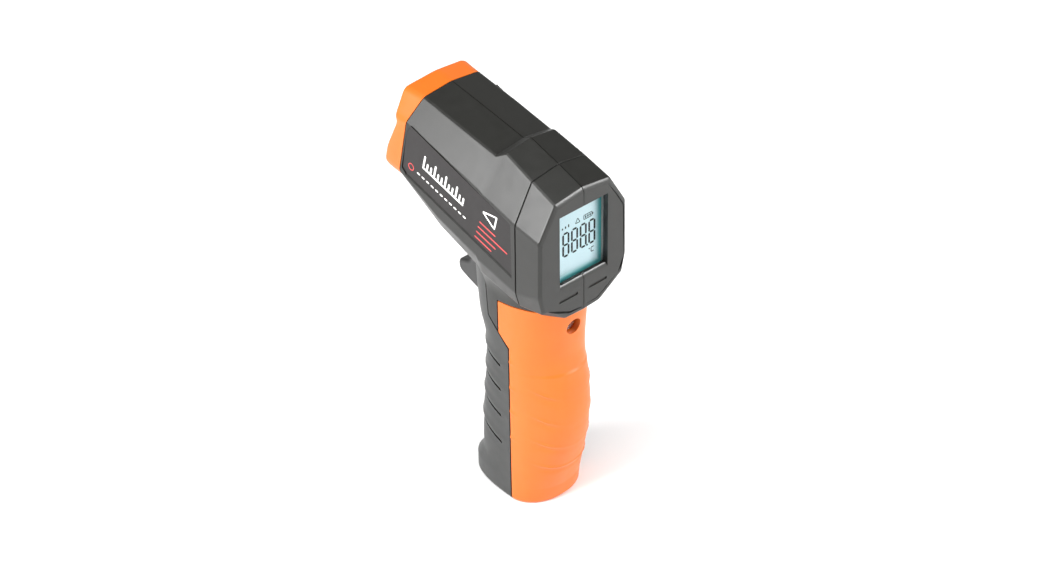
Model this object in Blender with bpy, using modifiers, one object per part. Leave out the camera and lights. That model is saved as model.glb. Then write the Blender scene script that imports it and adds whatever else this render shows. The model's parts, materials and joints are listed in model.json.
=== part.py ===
"""Infrared thermometer with a pistol grip, modelled as separate sub-parts.

Lengths below are in millimetres and are turned into metres when a mesh is made.
+Z is up along the grip, +Y is the way the barrel aims, +X is the user's right.
The origin is the middle of the flat end of the grip. The barrel is pitched up.
"""

import math

import bmesh
import bpy
from mathutils import Matrix, Vector

MM = 0.001
GAP = 0.3                 # clearance between neighbouring parts
WALL = 2.0                # wall thickness of the moulded shells
PITCH = math.radians(15)  # barrel axis above the horizontal

# Grip: height, front, back and half width of each section.
GRIP_MID_Y = -5.0
GRIP = (
    (0.0, 21.0, -17.2, 15.2),
    (1.4, 22.0, -18.4, 16.0),
    (8.0, 22.0, -19.6, 16.0),
    (13.5, 18.0, -21.4, 16.0),
    (20.0, 17.5, -23.6, 16.0),
    (30.0, 17.2, -26.2, 16.0),
    (40.0, 16.2, -27.7, 16.0),
    (48.0, 15.3, -28.2, 16.0),
    (58.0, 14.4, -27.2, 16.0),
    (66.0, 14.1, -25.2, 16.0),
    (72.0, 14.4, -23.8, 16.0),
    (79.0, 17.4, -24.0, 16.0),
    (89.0, 19.0, -25.2, 16.0),
    (98.0, 19.8, -26.2, 16.0),
    (106.0, 20.6, -26.8, 16.0),
    (115.0, 21.6, -26.8, 15.6),
)
GRIP_SIDES = 36
FRONT_POWER = 3.0         # squareness of the front half of a grip section
BACK_POWER = 2.15
CORE_INSET = 2.3          # the housing's core inside the rear grip
CORE_WALL = 4.1

# Head sections, from the rear face to the muzzle joint: y at the top, forward lean per
# mm downwards, ridge height, then (x, z) of the corners from the top one to the lowest.
REAR_Y = -30.0
HEAD = (
    (-30.0, 0.00, 148.0, ((13.0, 146.3), (20.9, 133.8), (21.0, 111.2), (19.2, 103.9), (8.1, 96.2))),
    (-28.8, 0.00, 149.2, ((13.4, 147.4), (21.3, 134.2), (21.5, 110.4), (19.8, 102.8), (8.6, 95.7))),
    (-17.0, 0.00, 153.1, ((13.3, 151.2), (21.3, 136.3), (21.5, 106.9), (19.8, 100.6), (9.0, 96.1))),
    (-3.5, 0.06, 157.1, ((12.8, 155.2), (21.2, 140.2), (21.5, 111.2), (19.6, 104.4), (9.0, 98.6))),
    (1.6, 0.08, 155.5, ((13.1, 153.6), (21.1, 141.8), (21.5, 112.9), (19.5, 106.4), (9.2, 101.2))),
    (20.0, 0.14, 158.7, ((13.1, 157.0), (20.9, 147.4), (21.5, 119.0), (19.2, 113.4), (9.6, 110.0))),
    (40.2, 0.19, 162.0, ((13.1, 160.4), (20.7, 153.3), (21.5, 129.2), (18.6, 125.2), (10.0, 122.6))),
)

# Nose: outer ring where it meets the head, and its front edge, as (x, y, z) of one side.
NOSE_BACK = (
    (0.0, 40.6, 162.0), (13.1, 40.9, 160.4), (20.7, 42.3, 153.3), (20.9, 42.8, 150.4),
    (21.3, 45.4, 136.8), (21.5, 46.9, 129.2), (18.6, 47.7, 125.2), (10.0, 48.2, 122.6), (0.0, 48.3, 122.2),
)
NOSE_FRONT = (
    (0.0, 50.0, 162.7), (14.4, 50.8, 161.0), (20.4, 49.6, 151.8), (20.6, 48.5, 149.4),
    (21.0, 54.4, 136.6), (21.1, 55.9, 129.7), (18.2, 55.9, 125.6), (9.9, 55.7, 123.0), (0.0, 55.7, 122.6),
)
NOSE_LIP = 3.2            # width of the nose's front rim
NOSE_RECESS = 4.5         # depth from the rim to the aperture plate
PLATE_T = 2.0

# Where the outer shells meet on the side of the grip, as (y, z).
SPLIT_Y = -6.2
GRIP_TOP = ((-40.0, 96.2), (-24.0, 95.0), (-12.4, 94.0), (-0.7, 92.0))
WEDGE_TIP = (-0.5, 78.3)
DOOR_BACK = ((5.6, 82.6), (6.6, 95.4), (8.6, 106.0))
SEAM = 0.3                # half of the open line between the outer shells
HALF_SEAM = 0.12          # half of the line between the two housing halves

# Display
DISPLAY_MID_Z = 127.5
DISPLAY_W = 23.5
DISPLAY_H = 27.5
LCD_MID_Z = 125.2         # the panel sits low so that it fills the opening seen from above
LCD_W = 24.4
LCD_H = 32.0

# Trigger
TRIGGER_PIVOT = (16.0, 117.5)
TRIGGER_HALF = 5.5
TRIGGER_ROUND = 0.8
SLOT_HALF = 6.0
TRIGGER_PIN_R = 1.2
SWITCH_Z = 101.0
SPRING_Z = 90.0
TRIGGER_BACK_Y = 10.0

# Battery and its door
DOOR_PIVOT = (12.0, 3.6)
DOOR_PIN_R = 1.1
BATTERY = (16.5, 25.5, 46.0)
BATTERY_MID_Y = -1.2
BATTERY_FLOOR = 9.5

# Optics, along the pitched barrel axis from its mark behind the muzzle
AXIS_MARK = (0.0, 45.5, 139.0)
TUBE_R = 8.4
TUBE_LEN = 29.0
LASER_UP = 14.0
LASER_R = 3.2

COLOURS = {
    "housing": ((0.055, 0.055, 0.052, 1), 0.42, 0.0),
    "orange": ((0.90, 0.25, 0.05, 1), 0.40, 0.0),
    "grip_black": ((0.07, 0.07, 0.07, 1), 0.55, 0.0),
    "trigger_black": ((0.05, 0.05, 0.05, 1), 0.45, 0.0),
    "label": ((0.06, 0.055, 0.055, 1), 0.35, 0.0),
    "window": ((0.80, 0.90, 0.92, 1), 0.05, 0.0),
    "lcd": ((0.55, 0.66, 0.68, 1), 0.20, 0.0),
    "backlight": ((0.30, 0.60, 0.62, 1), 0.40, 0.0),
    "white_plastic": ((0.75, 0.75, 0.72, 1), 0.50, 0.0),
    "board": ((0.02, 0.20, 0.08, 1), 0.45, 0.0),
    "steel": ((0.60, 0.60, 0.60, 1), 0.30, 1.0),
    "brass": ((0.75, 0.55, 0.25, 1), 0.30, 1.0),
    "lens": ((0.85, 0.85, 0.80, 1), 0.25, 0.0),
    "battery": ((0.10, 0.16, 0.30, 1), 0.35, 0.2),
    "foam": ((0.12, 0.12, 0.12, 1), 0.95, 0.0),
    "red": ((0.60, 0.02, 0.02, 1), 0.50, 0.0),
    "black_wire": ((0.02, 0.02, 0.02, 1), 0.50, 0.0),
    "chip": ((0.03, 0.03, 0.03, 1), 0.60, 0.0),
}

# ---------------------------------------------------------------------------
# Scene, collections, materials
# ---------------------------------------------------------------------------

for old in list(bpy.data.objects):
    bpy.data.objects.remove(old, do_unlink=True)


def collection(name):
    made = bpy.data.collections.new(name)
    bpy.context.scene.collection.children.link(made)
    return made


PARTS = collection("infrared_thermometer")
CUTTERS = collection("cutters")


def material(key):
    found = bpy.data.materials.get(key)
    if found:
        return found
    colour, rough, metal = COLOURS[key]
    made = bpy.data.materials.new(key)
    made.use_nodes = True
    shader = made.node_tree.nodes["Principled BSDF"]
    shader.inputs["Base Color"].default_value = colour
    shader.inputs["Roughness"].default_value = rough
    shader.inputs["Metallic"].default_value = metal
    return made


def empty(name, place, tilt=0.0):
    mark = bpy.data.objects.new(name, None)
    mark.location = [value * MM for value in place]
    mark.rotation_euler = (tilt, 0.0, 0.0)
    PARTS.objects.link(mark)
    return mark


def finish_mesh(mesh, name, look, place, group, smooth=False):
    if smooth:
        for face in mesh.faces:
            face.smooth = True
    data = bpy.data.meshes.new(name)
    mesh.to_mesh(data)
    mesh.free()
    made = bpy.data.objects.new(name, data)
    made.location = [value * MM for value in place]
    group.objects.link(made)
    if group is CUTTERS:
        made.hide_render = True
        made.display_type = "WIRE"
    else:
        data.materials.append(material(look))
    return made


# ---------------------------------------------------------------------------
# Shapes. Each takes millimetres; look None makes a cutter.
# ---------------------------------------------------------------------------

def group_for(look):
    return PARTS if look else CUTTERS


def box(name, low, high, look=None, bevel=0.0):
    centre = [(a + b) / 2 for a, b in zip(low, high)]
    size = [(b - a) * MM for a, b in zip(low, high)]
    mesh = bmesh.new()
    bmesh.ops.create_cube(mesh, size=1.0, matrix=Matrix.Diagonal((*size, 1.0)))
    made = finish_mesh(mesh, name, look, centre, group_for(look))
    if bevel:
        edge = made.modifiers.new("edges", "BEVEL")
        edge.width = bevel * MM
        edge.segments = 2
        edge.limit_method = "ANGLE"
    return made


TURN = {
    "X": Matrix.Rotation(math.pi / 2, 4, "Y"),
    "Y": Matrix.Rotation(-math.pi / 2, 4, "X"),
    "Z": Matrix.Identity(4),
}


def rod(name, axis, centre, radius, start, end, look=None, sides=24, end_radius=None):
    """Cylinder along an axis; start and end are measured along it from the centre."""
    mesh = bmesh.new()
    bmesh.ops.create_cone(
        mesh, cap_ends=True, segments=sides, radius1=radius * MM,
        radius2=(radius if end_radius is None else end_radius) * MM, depth=(end - start) * MM,
    )
    bmesh.ops.transform(mesh, matrix=TURN[axis], verts=mesh.verts)
    offset = Vector((0.0, 0.0, 0.0))
    offset["XYZ".index(axis)] = (start + end) / 2
    return finish_mesh(mesh, name, look, Vector(centre) + offset, group_for(look))


def turned(name, profile, look, sides=28):
    """Solid of revolution about Y, from (y, radius) points; it closes on the axis."""
    mesh = bmesh.new()
    spine = [mesh.verts.new((radius * MM, y * MM, 0.0)) for y, radius in profile]
    for first, second in zip(spine, spine[1:]):
        mesh.edges.new((first, second))
    made = finish_mesh(mesh, name, look, (0, 0, 0), group_for(look))
    turn = made.modifiers.new("turn", "SCREW")
    turn.axis = "Y"
    turn.steps = sides
    turn.render_steps = sides
    turn.use_merge_vertices = True
    turn.merge_threshold = 0.00001
    turn.use_normal_calculate = True
    return made


def loft(rings, closed_ring=False):
    """Skin through rings with equal counts. A closed ring joins the last to the first."""
    mesh = bmesh.new()
    loops = [[mesh.verts.new(Vector(point) * MM) for point in ring] for ring in rings]
    pairs = list(zip(loops, loops[1:]))
    if closed_ring:
        pairs.append((loops[-1], loops[0]))
    for first, second in pairs:
        count = len(first)
        for i in range(count):
            j = (i + 1) % count
            mesh.faces.new((first[i], first[j], second[j], second[i]))
    if not closed_ring:
        mesh.faces.new(loops[0])
        mesh.faces.new(loops[-1])
    bmesh.ops.triangulate(mesh, faces=mesh.faces)   # flat faces keep the Booleans exact
    bmesh.ops.recalc_face_normals(mesh, faces=mesh.faces)
    return mesh


def lofted(name, rings, look=None, closed_ring=False, smooth=False):
    mesh = loft(rings, closed_ring)
    return finish_mesh(mesh, name, look, (0, 0, 0), group_for(look), smooth)


def side_prism(name, outline, half, look=None, x_mid=0.0):
    """Slab with a (y, z) outline, running from x_mid - half to x_mid + half."""
    rings = [[(x_mid + x, y, z) for y, z in outline] for x in (-half, half)]
    return lofted(name, rings, look)


def combine(target, other, operation):
    step = target.modifiers.new(other.name, "BOOLEAN")
    step.operation = operation
    step.solver = "EXACT"
    step.object = other
    return target


def cut(target, *others):
    for other in others:
        combine(target, other, "DIFFERENCE")
    return target


def add(target, *others):
    for other in others:
        combine(target, other, "UNION")
    return target


def keep(target, other):
    return combine(target, other, "INTERSECT")


# ---------------------------------------------------------------------------
# Sections of the grip and of the head
# ---------------------------------------------------------------------------

def power(value, exponent):
    return math.copysign(abs(value) ** exponent, value)


def grip_ring(section, inset, z=None):
    height, front, back, half = section
    ring = []
    for k in range(GRIP_SIDES):
        angle = 2 * math.pi * (k + 0.5) / GRIP_SIDES
        ahead = math.sin(angle) > 0
        exponent = 2 / (FRONT_POWER if ahead else BACK_POWER)
        depth = (front - GRIP_MID_Y if ahead else GRIP_MID_Y - back) - inset
        x = (half - inset) * power(math.cos(angle), exponent)
        y = GRIP_MID_Y + depth * power(math.sin(angle), exponent)
        ring.append((x, y, height if z is None else z))
    return ring


def grip_rings(inset, floor=0.0, top=GRIP[-1][0]):
    """Rings of the grip from a floor height to a top height, inset from the outside."""
    inner = [section for section in GRIP if floor + 0.6 < section[0] < top - 0.6]
    first = max((s for s in GRIP if s[0] <= floor + 0.6), key=lambda s: s[0])
    last = min((s for s in GRIP if s[0] >= top - 0.6), key=lambda s: s[0])
    first = GRIP[1] if floor > 0 and first is GRIP[0] else first
    rings = [grip_ring(first, inset, floor)]
    rings += [grip_ring(section, inset) for section in inner]
    rings.append(grip_ring(last, inset, top))
    return rings


def offset_outline(points, inset):
    """Move every side of a closed (x, z) outline inwards by the same distance."""
    count = len(points)
    area = sum(points[i][0] * points[(i + 1) % count][1] - points[(i + 1) % count][0] * points[i][1]
               for i in range(count))
    turn = 1 if area > 0 else -1
    moved = []
    for i in range(count):
        here = Vector(points[i])
        before = (here - Vector(points[i - 1])).normalized()
        after = (Vector(points[(i + 1) % count]) - here).normalized()
        normal_a = Vector((-before.y, before.x)) * turn
        normal_b = Vector((-after.y, after.x)) * turn
        bisector = (normal_a + normal_b).normalized()
        moved.append(here + bisector * inset / max(0.5, bisector.dot(normal_a)))
    return moved


def head_ring(section, inset=0.0, shift=0.0):
    y_top, lean, ridge, corners = section
    right = [(0.0, ridge), *corners, (0.0, corners[-1][1] - 0.5)]
    left = [(-x, z) for x, z in reversed(corners)]
    outline = right + left
    if inset:
        outline = offset_outline(outline, inset)
    return [(x, y_top + shift + lean * (ridge - z), z) for x, z in outline]


def mirrored_ring(points, grow=0.0, push=0.0):
    """Full ring from one side's (x, y, z) points, inset by grow and moved along Y by push."""
    full = list(points) + [(-x, y, z) for x, y, z in reversed(points[1:-1])]
    flat = offset_outline([(x, z) for x, y, z in full], grow) if grow else [(x, z) for x, y, z in full]
    return [(x, old[1] + push, z) for (x, z), old in zip(flat, full)]


# ---------------------------------------------------------------------------
# Shared cutters
# ---------------------------------------------------------------------------

FAR = 60.0
SIDE = 30.0

grip_region = side_prism("grip_region", (
    (-FAR, -5.0), (SPLIT_Y - SEAM, -5.0), (SPLIT_Y - SEAM, 73.2),
    (WEDGE_TIP[0] - SEAM, WEDGE_TIP[1] - 0.4), GRIP_TOP[3], GRIP_TOP[2], GRIP_TOP[1],
    (-FAR, GRIP_TOP[0][1]),
), SIDE)
door_region = side_prism("door_region", (
    (SPLIT_Y + SEAM, -5.0), (SPLIT_Y + SEAM, 72.6), (WEDGE_TIP[0] + 0.2, WEDGE_TIP[1] - 0.8),
    *DOOR_BACK, (FAR, DOOR_BACK[-1][1]), (FAR, -5.0),
), SIDE)
neck_region = side_prism("neck_region", (
    (-FAR, GRIP_TOP[0][1] + 0.5), (GRIP_TOP[1][0], GRIP_TOP[1][1] + 0.5),
    (GRIP_TOP[2][0], GRIP_TOP[2][1] + 0.5), (WEDGE_TIP[0] + 0.3, GRIP_TOP[3][1] + 0.4),
    (WEDGE_TIP[0] + 0.3, WEDGE_TIP[1] + 0.5), (DOOR_BACK[0][0] - 0.5, DOOR_BACK[0][1] + 0.3),
    (DOOR_BACK[1][0] - 0.5, DOOR_BACK[1][1]), (DOOR_BACK[2][0] - 0.4, DOOR_BACK[2][1] + 0.5),
    (FAR, DOOR_BACK[2][1] + 0.5), (FAR, 125.0), (-FAR, 125.0),
), SIDE)
door_clearance = side_prism("door_clearance", (
    (3.0, 60.0), (3.0, 90.0), (7.6, DOOR_BACK[2][1] + 0.8), (FAR, DOOR_BACK[2][1] + 0.8), (FAR, 60.0),
), SIDE)
core_region = side_prism("core_region", (
    (-FAR, CORE_INSET), (SPLIT_Y - 0.8, CORE_INSET), (SPLIT_Y - 0.8, 73.8),
    (WEDGE_TIP[0] - 0.2, WEDGE_TIP[1] + 0.7), (4.0, 82.0), (4.0, 102.0), (-FAR, 102.0),
), SIDE)

grip_space = lofted("grip_space", grip_rings(WALL, WALL))
core_space = lofted("core_space", grip_rings(CORE_WALL, CORE_WALL))


def inner_head(first_shift):
    rings = [head_ring(HEAD[0], WALL, first_shift)]
    rings += [head_ring(section, WALL) for section in HEAD[2:-1]]
    rings.append(head_ring(HEAD[-1], WALL, 3.0))
    return rings


head_space = lofted("head_space", inner_head(WALL + 0.4))
head_envelope = lofted("head_envelope", [head_ring(section, 0.9) for section in HEAD])

display_hole = box(
    "display_hole",
    (-DISPLAY_W / 2, REAR_Y - 2, DISPLAY_MID_Z - DISPLAY_H / 2),
    (DISPLAY_W / 2, REAR_Y + 6, DISPLAY_MID_Z + DISPLAY_H / 2),
)
trigger_slot = box("trigger_slot", (-SLOT_HALF, 8.6, 74.0), (SLOT_HALF, 26.4, 115.0))

battery_bay = box(
    "battery_bay",
    (-BATTERY[0] / 2 - GAP, BATTERY_MID_Y - BATTERY[1] / 2 - GAP, BATTERY_FLOOR - GAP),
    (BATTERY[0] / 2 + GAP, BATTERY_MID_Y + BATTERY[1] / 2 + GAP, BATTERY_FLOOR + BATTERY[2] + 4),
)

# ---------------------------------------------------------------------------
# Housing halves
# ---------------------------------------------------------------------------

# Lateral screws that clamp the halves, as (name, y, z).
CLAMP_SCREWS = (
    ("housing_screw_top", 4.0, 147.0),
    ("housing_screw_neck", -14.4, 104.8),
    ("housing_screw_grip", -15.6, 69.4),
    ("housing_screw_front", 36.8, 123.8),
)
POST_R = 3.6
POST_REACH = 20.6
CORE_POST_REACH = 8.5
HEAD_R = 2.4
SHAFT_R = 1.1
HEAD_SEAT = 6.0
GRIP_SCREW_Z = 85.5
CUP_OUT_R = 4.7           # the well in the rear grip that the grip screw sits in
CUP_R = 3.4
CUP_SEAT_Y = -19.8
CUP_END_Y = -18.0
LABEL = ((-14.6, 113.4), (-14.2, 135.4), (39.5, 151.9), (41.8, 148.4), (45.0, 131.6), (43.0, 129.8))
LABEL_X = 21.15
LABEL_DEEP = 0.5


def half_housing(name, side):
    shell = lofted(name, [head_ring(section) for section in HEAD], "housing")
    cut(shell, door_clearance)
    neck = lofted(name + "_neck", grip_rings(0.0, 70.0))
    keep(neck, neck_region)
    core = lofted(name + "_core", grip_rings(CORE_INSET, CORE_INSET))
    keep(core, core_region)
    add(shell, neck, core)
    cut(shell, head_space, core_space, display_hole, trigger_slot, battery_bay)
    for screw, y, z in CLAMP_SCREWS:
        in_head = z > 90
        reach = POST_REACH if in_head else CORE_POST_REACH
        ends = (-reach, 3.0) if side < 0 else (-3.0, reach)
        post = rod(f"{name}_{screw}_post", "X", (0, y, z), POST_R, *ends, sides=18)
        add(shell, keep(post, head_envelope) if in_head else post)
    for screw, y, z in CLAMP_SCREWS:
        if side > 0:
            cut(shell, rod(f"{name}_{screw}_seat", "X", (0, y, z), HEAD_R + GAP, HEAD_SEAT - GAP, 30, sides=20))
            cut(shell, rod(f"{name}_{screw}_bore", "X", (0, y, z), SHAFT_R + GAP, -1, HEAD_SEAT + 1, sides=16))
        else:
            cut(shell, rod(f"{name}_{screw}_bore", "X", (0, y, z), SHAFT_R + GAP, -9.0, 1, sides=16))
    if side < 0:
        add(shell, box(f"{name}_screw_block", (-9.6, -17.2, GRIP_SCREW_Z - 4.2), (3.4, -9.6, GRIP_SCREW_Z + 4.2)))
        cut(shell, rod(f"{name}_screw_bore", "Y", (0, 0, GRIP_SCREW_Z), SHAFT_R + GAP, -30, -10.2, sides=16))
    else:
        cut(shell, box(
            f"{name}_screw_relief", (-6, -19, GRIP_SCREW_Z - 4.2 - GAP), (3.4 + GAP, -9.2, GRIP_SCREW_Z + 4.2 + GAP)))
    cut(shell, rod(f"{name}_cup_relief", "Y", (0, 0, GRIP_SCREW_Z), CUP_OUT_R + GAP, -34, CUP_END_Y + GAP, sides=28))
    near, far = (HALF_SEAM, SIDE) if side > 0 else (-SIDE, -HALF_SEAM)
    split = box(f"{name}_side", (near, -70, -10), (far, 90, 190))
    if side < 0:
        add(split, box(f"{name}_tongue", (-1, -17.6, GRIP_SCREW_Z - 4.6), (3.8, -9.3, GRIP_SCREW_Z + 4.6)))
    keep(shell, split)
    pocket = side_prism(
        f"{name}_label_pocket",
        [tuple(point) for point in offset_outline(LABEL, -GAP)], 2.0,
        x_mid=side * (LABEL_X - LABEL_DEEP + 2.0))
    cut(shell, pocket)
    return shell


left_housing = half_housing("left_housing", -1)
right_housing = half_housing("right_housing", 1)

for side, name in ((-1, "left_label"), (1, "right_label")):
    side_prism(name, LABEL, 0.15, "label", x_mid=side * (LABEL_X - LABEL_DEEP + 0.27))

for screw, y, z in CLAMP_SCREWS:
    body = rod(screw, "X", (0, y, z), HEAD_R, HEAD_SEAT, HEAD_SEAT + 2.0, "steel", sides=20)
    shaft = rod(screw + "_shaft", "X", (0, y, z), SHAFT_R, -8.0, HEAD_SEAT + 1.0, sides=16)
    slot = box(screw + "_slot", (HEAD_SEAT + 1.1, y - 1.6, z - 0.3), (HEAD_SEAT + 3, y + 1.6, z + 0.3))
    cross = box(screw + "_cross", (HEAD_SEAT + 1.1, y - 0.3, z - 1.6), (HEAD_SEAT + 3, y + 0.3, z + 1.6))
    add(body, shaft)
    cut(body, slot, cross)

# ---------------------------------------------------------------------------
# Nose cap and aperture plate
# ---------------------------------------------------------------------------

nose_outer_back = mirrored_ring(NOSE_BACK)
nose_outer_front = mirrored_ring(NOSE_FRONT)
nose_rim = mirrored_ring(NOSE_FRONT, NOSE_LIP, -0.4)
LEAN = math.tan(PITCH)
PLATE_Y = 47.0            # front of the aperture plate where z is the axis height
LIP_RING = [(x, PLATE_Y + LEAN * (AXIS_MARK[2] - z), z) for x, y, z in nose_rim]
nose_inner_back = mirrored_ring(NOSE_BACK, WALL)
lofted(
    "nose_cap",
    [nose_outer_back, nose_outer_front, nose_rim, LIP_RING, nose_inner_back],
    "orange", closed_ring=True,
)

plate_outline = offset_outline([(x, z) for x, y, z in nose_rim], GAP)


def plate_ring(push):
    return [(x, PLATE_Y + push + LEAN * (AXIS_MARK[2] - z), z) for x, z in plate_outline]


barrel = empty("barrel_axis", AXIS_MARK, PITCH)
LENS_HOLE_R = 7.2
LASER_HOLE_R = 1.8


def on_barrel(made):
    made.parent = barrel
    return made


aperture_plate = lofted("aperture_plate", [plate_ring(0.9), plate_ring(0.9 + PLATE_T)], "housing")
lens_hole = on_barrel(rod("lens_hole", "Y", (0, 0, 0), LENS_HOLE_R, -12, 20, sides=36))
laser_hole = on_barrel(rod("laser_hole", "Y", (0, 0, LASER_UP), LASER_HOLE_R, -12, 20, sides=20))
cut(aperture_plate, lens_hole, laser_hole)

# ---------------------------------------------------------------------------
# Optics and laser, all along the barrel axis
# ---------------------------------------------------------------------------

TUBE_FRONT = 0.6
LENS_T = 1.4
tube = on_barrel(rod("sensor_barrel", "Y", (0, 0, 0), TUBE_R, TUBE_FRONT - TUBE_LEN, TUBE_FRONT, "chip", sides=36))
cut(
    tube,
    on_barrel(rod("tube_bore", "Y", (0, 0, 0), TUBE_R - 1.8, TUBE_FRONT - TUBE_LEN + 3, TUBE_FRONT + 2, sides=36)),
    on_barrel(rod("lens_seat", "Y", (0, 0, 0), TUBE_R - 0.9, TUBE_FRONT - LENS_T - 0.9, TUBE_FRONT + 2, sides=36)),
    on_barrel(rod("sensor_hole", "Y", (0, 0, 0), 4.4, TUBE_FRONT - TUBE_LEN - 2, TUBE_FRONT - TUBE_LEN + 4)),
)
lens_profile = ((TUBE_FRONT - LENS_T - 0.5, 0.0), (TUBE_FRONT - LENS_T - 0.5, TUBE_R - 1.2),
                (TUBE_FRONT - 0.9, TUBE_R - 1.2), (TUBE_FRONT - 0.55, 4.5), (TUBE_FRONT - 0.4, 0.0))
on_barrel(turned("fresnel_lens", lens_profile, "lens"))

SENSOR_Y = TUBE_FRONT - TUBE_LEN
thermopile = on_barrel(rod("thermopile_sensor", "Y", (0, 0, 0), 4.1, SENSOR_Y - 0.6, SENSOR_Y + 3.4, "steel", sides=28))
add(thermopile, on_barrel(rod("sensor_flange", "Y", (0, 0, 0), 4.7, SENSOR_Y - 1.3, SENSOR_Y - 0.3, sides=28)))
on_barrel(box("sensor_board", (-9, SENSOR_Y - 3.0, -9), (9, SENSOR_Y - 1.6, 9), "board"))

LASER_BACK = -24.0
laser_body = on_barrel(rod("laser_body", "Y", (0, 0, LASER_UP), LASER_R, LASER_BACK, -5.6, "brass", sides=28))
cut(laser_body, on_barrel(rod("laser_bore", "Y", (0, 0, LASER_UP), 2.2, -9.0, 0, sides=20)))
on_barrel(rod("laser_lens", "Y", (0, 0, LASER_UP), 1.9, -8.4, -7.2, "lens", sides=20))
laser_clamp = on_barrel(box("laser_clamp", (-5.6, -18, TUBE_R + GAP), (5.6, -10, LASER_UP + 4.8), "chip"))
cut(laser_clamp, on_barrel(rod("clamp_bore", "Y", (0, 0, LASER_UP), LASER_R + GAP, -30, 0, sides=28)))

# ---------------------------------------------------------------------------
# Display stack and boards behind the rear face
# ---------------------------------------------------------------------------

WINDOW_Y = REAR_Y + WALL + 0.4 + GAP


def rear_slab(name, width, height, start, thick, look, bevel=0.0):
    return box(
        name, (-width / 2, start, LCD_MID_Z - height / 2),
        (width / 2, start + thick, LCD_MID_Z + height / 2), look, bevel)


rear_slab("display_window", 25.2, 33.0, WINDOW_Y, 1.2, "window")
LCD_Y = WINDOW_Y + 1.2 + GAP
rear_slab("lcd_panel", LCD_W, LCD_H, LCD_Y, 2.0, "lcd")
rear_slab("lcd_backlight", LCD_W, LCD_H, LCD_Y + 2.0 + GAP, 1.4, "backlight")
lcd_frame = rear_slab("lcd_frame", 26.6, 34.2, LCD_Y, 3.7, "white_plastic")
cut(lcd_frame, rear_slab("lcd_frame_hole", LCD_W + 2 * GAP, LCD_H + 2 * GAP, LCD_Y - 1, 6, None))
BOARD_Y = LCD_Y + 3.7 + GAP
BOARD_T = 1.6
box("main_board", (-13.4, BOARD_Y, 109.5), (13.4, BOARD_Y + BOARD_T, 143.4), "board")
CHIP_Y = BOARD_Y + BOARD_T + 0.05
box("processor_chip", (-5.0, CHIP_Y + 0.25, 122.0), (5.0, CHIP_Y + 1.9, 132.0), "chip")

# ---------------------------------------------------------------------------
# Trigger, its pin, spring and switch
# ---------------------------------------------------------------------------

PY, PZ = TRIGGER_PIVOT
TRIGGER_SHAPE = (
    (10.6, 116.0), (11.4, 119.6), (14.0, 121.9), (17.4, 122.0), (20.2, 120.0), (21.4, 116.6),
    (22.4, 110.0), (23.6, 104.0), (25.0, 98.6), (27.0, 94.2), (29.8, 90.8), (32.4, 88.6),
    (33.4, 86.4), (33.0, 84.0), (31.2, 82.2), (26.0, 80.4), (21.0, 79.0), (13.0, 78.9),
    (TRIGGER_BACK_Y, 80.0), (TRIGGER_BACK_Y, 108.0),
)
trigger_pivot = empty("trigger_pivot", (0.0, PY, PZ))
trigger = side_prism("trigger", [(y - PY, z - PZ) for y, z in TRIGGER_SHAPE], TRIGGER_HALF, "trigger_black")
trigger.parent = trigger_pivot
edge = trigger.modifiers.new("edges", "BEVEL")
edge.width = TRIGGER_ROUND * MM
edge.segments = 1
edge.limit_method = "ANGLE"
edge.angle_limit = math.radians(50)
cut(trigger, rod("trigger_bore", "X", (0, PY, PZ), TRIGGER_PIN_R + GAP, -10, 10, sides=20))

PIN_REACH = 11.0
rod("trigger_pin", "X", (0, PY, PZ), TRIGGER_PIN_R, -PIN_REACH, PIN_REACH, "steel", sides=20)
for shell, side in ((left_housing, -1), (right_housing, 1)):
    inner = SLOT_HALF + 0.4
    ends = (inner, POST_REACH) if side > 0 else (-POST_REACH, -inner)
    add(shell, keep(rod(f"pin_boss_{side}", "X", (0, PY, PZ), 3.0, *ends, sides=20), head_envelope))
    ends = (inner - 1, PIN_REACH + GAP) if side > 0 else (-PIN_REACH - GAP, 1 - inner)
    cut(shell, rod(f"pin_socket_{side}", "X", (0, PY, PZ), TRIGGER_PIN_R + GAP, *ends, sides=20))


def coil(name, start, end, radius, wire, turns, x, z, look):
    """Compression spring along Y between two heights of the path."""
    curve = bpy.data.curves.new(name, "CURVE")
    curve.dimensions = "3D"
    curve.bevel_depth = wire * MM
    curve.bevel_resolution = 2
    curve.use_fill_caps = True
    steps = turns * 12
    spline = curve.splines.new("POLY")
    spline.points.add(steps)
    for i in range(steps + 1):
        angle = 2 * math.pi * turns * i / steps
        along = start + (end - start) * i / steps
        point = (x + radius * math.cos(angle), along, z + radius * math.sin(angle))
        spline.points[i].co = (*(value * MM for value in point), 1.0)
    made = bpy.data.objects.new(name, curve)
    PARTS.objects.link(made)
    curve.materials.append(material(look))
    return made


SHELF_Y = 2.4
coil("trigger_spring", SHELF_Y + 0.7, TRIGGER_BACK_Y - 0.75, 2.2, 0.35, 4, 0.0, SPRING_Z, "steel")

box("switch_board", (-8.6, SHELF_Y - 1.9, 84.4), (8.6, SHELF_Y - 0.3, 107.0), "board")
BODY_Y = SHELF_Y
switch_body = box("switch_body", (-3.6, BODY_Y, SWITCH_Z - 3.6), (3.6, BODY_Y + 4.0, SWITCH_Z + 3.6), "chip")
cut(switch_body, rod("plunger_bore", "Y", (0, 0, SWITCH_Z), 1.5 + GAP, BODY_Y + 1.0, BODY_Y + 6, sides=20))
rod(
    "switch_plunger", "Y", (0, 0, SWITCH_Z), 1.5, BODY_Y + 3.2, TRIGGER_BACK_Y - GAP, "white_plastic", sides=20)

# ---------------------------------------------------------------------------
# Rear grip with the hinge lugs, and the battery door
# ---------------------------------------------------------------------------

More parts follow.
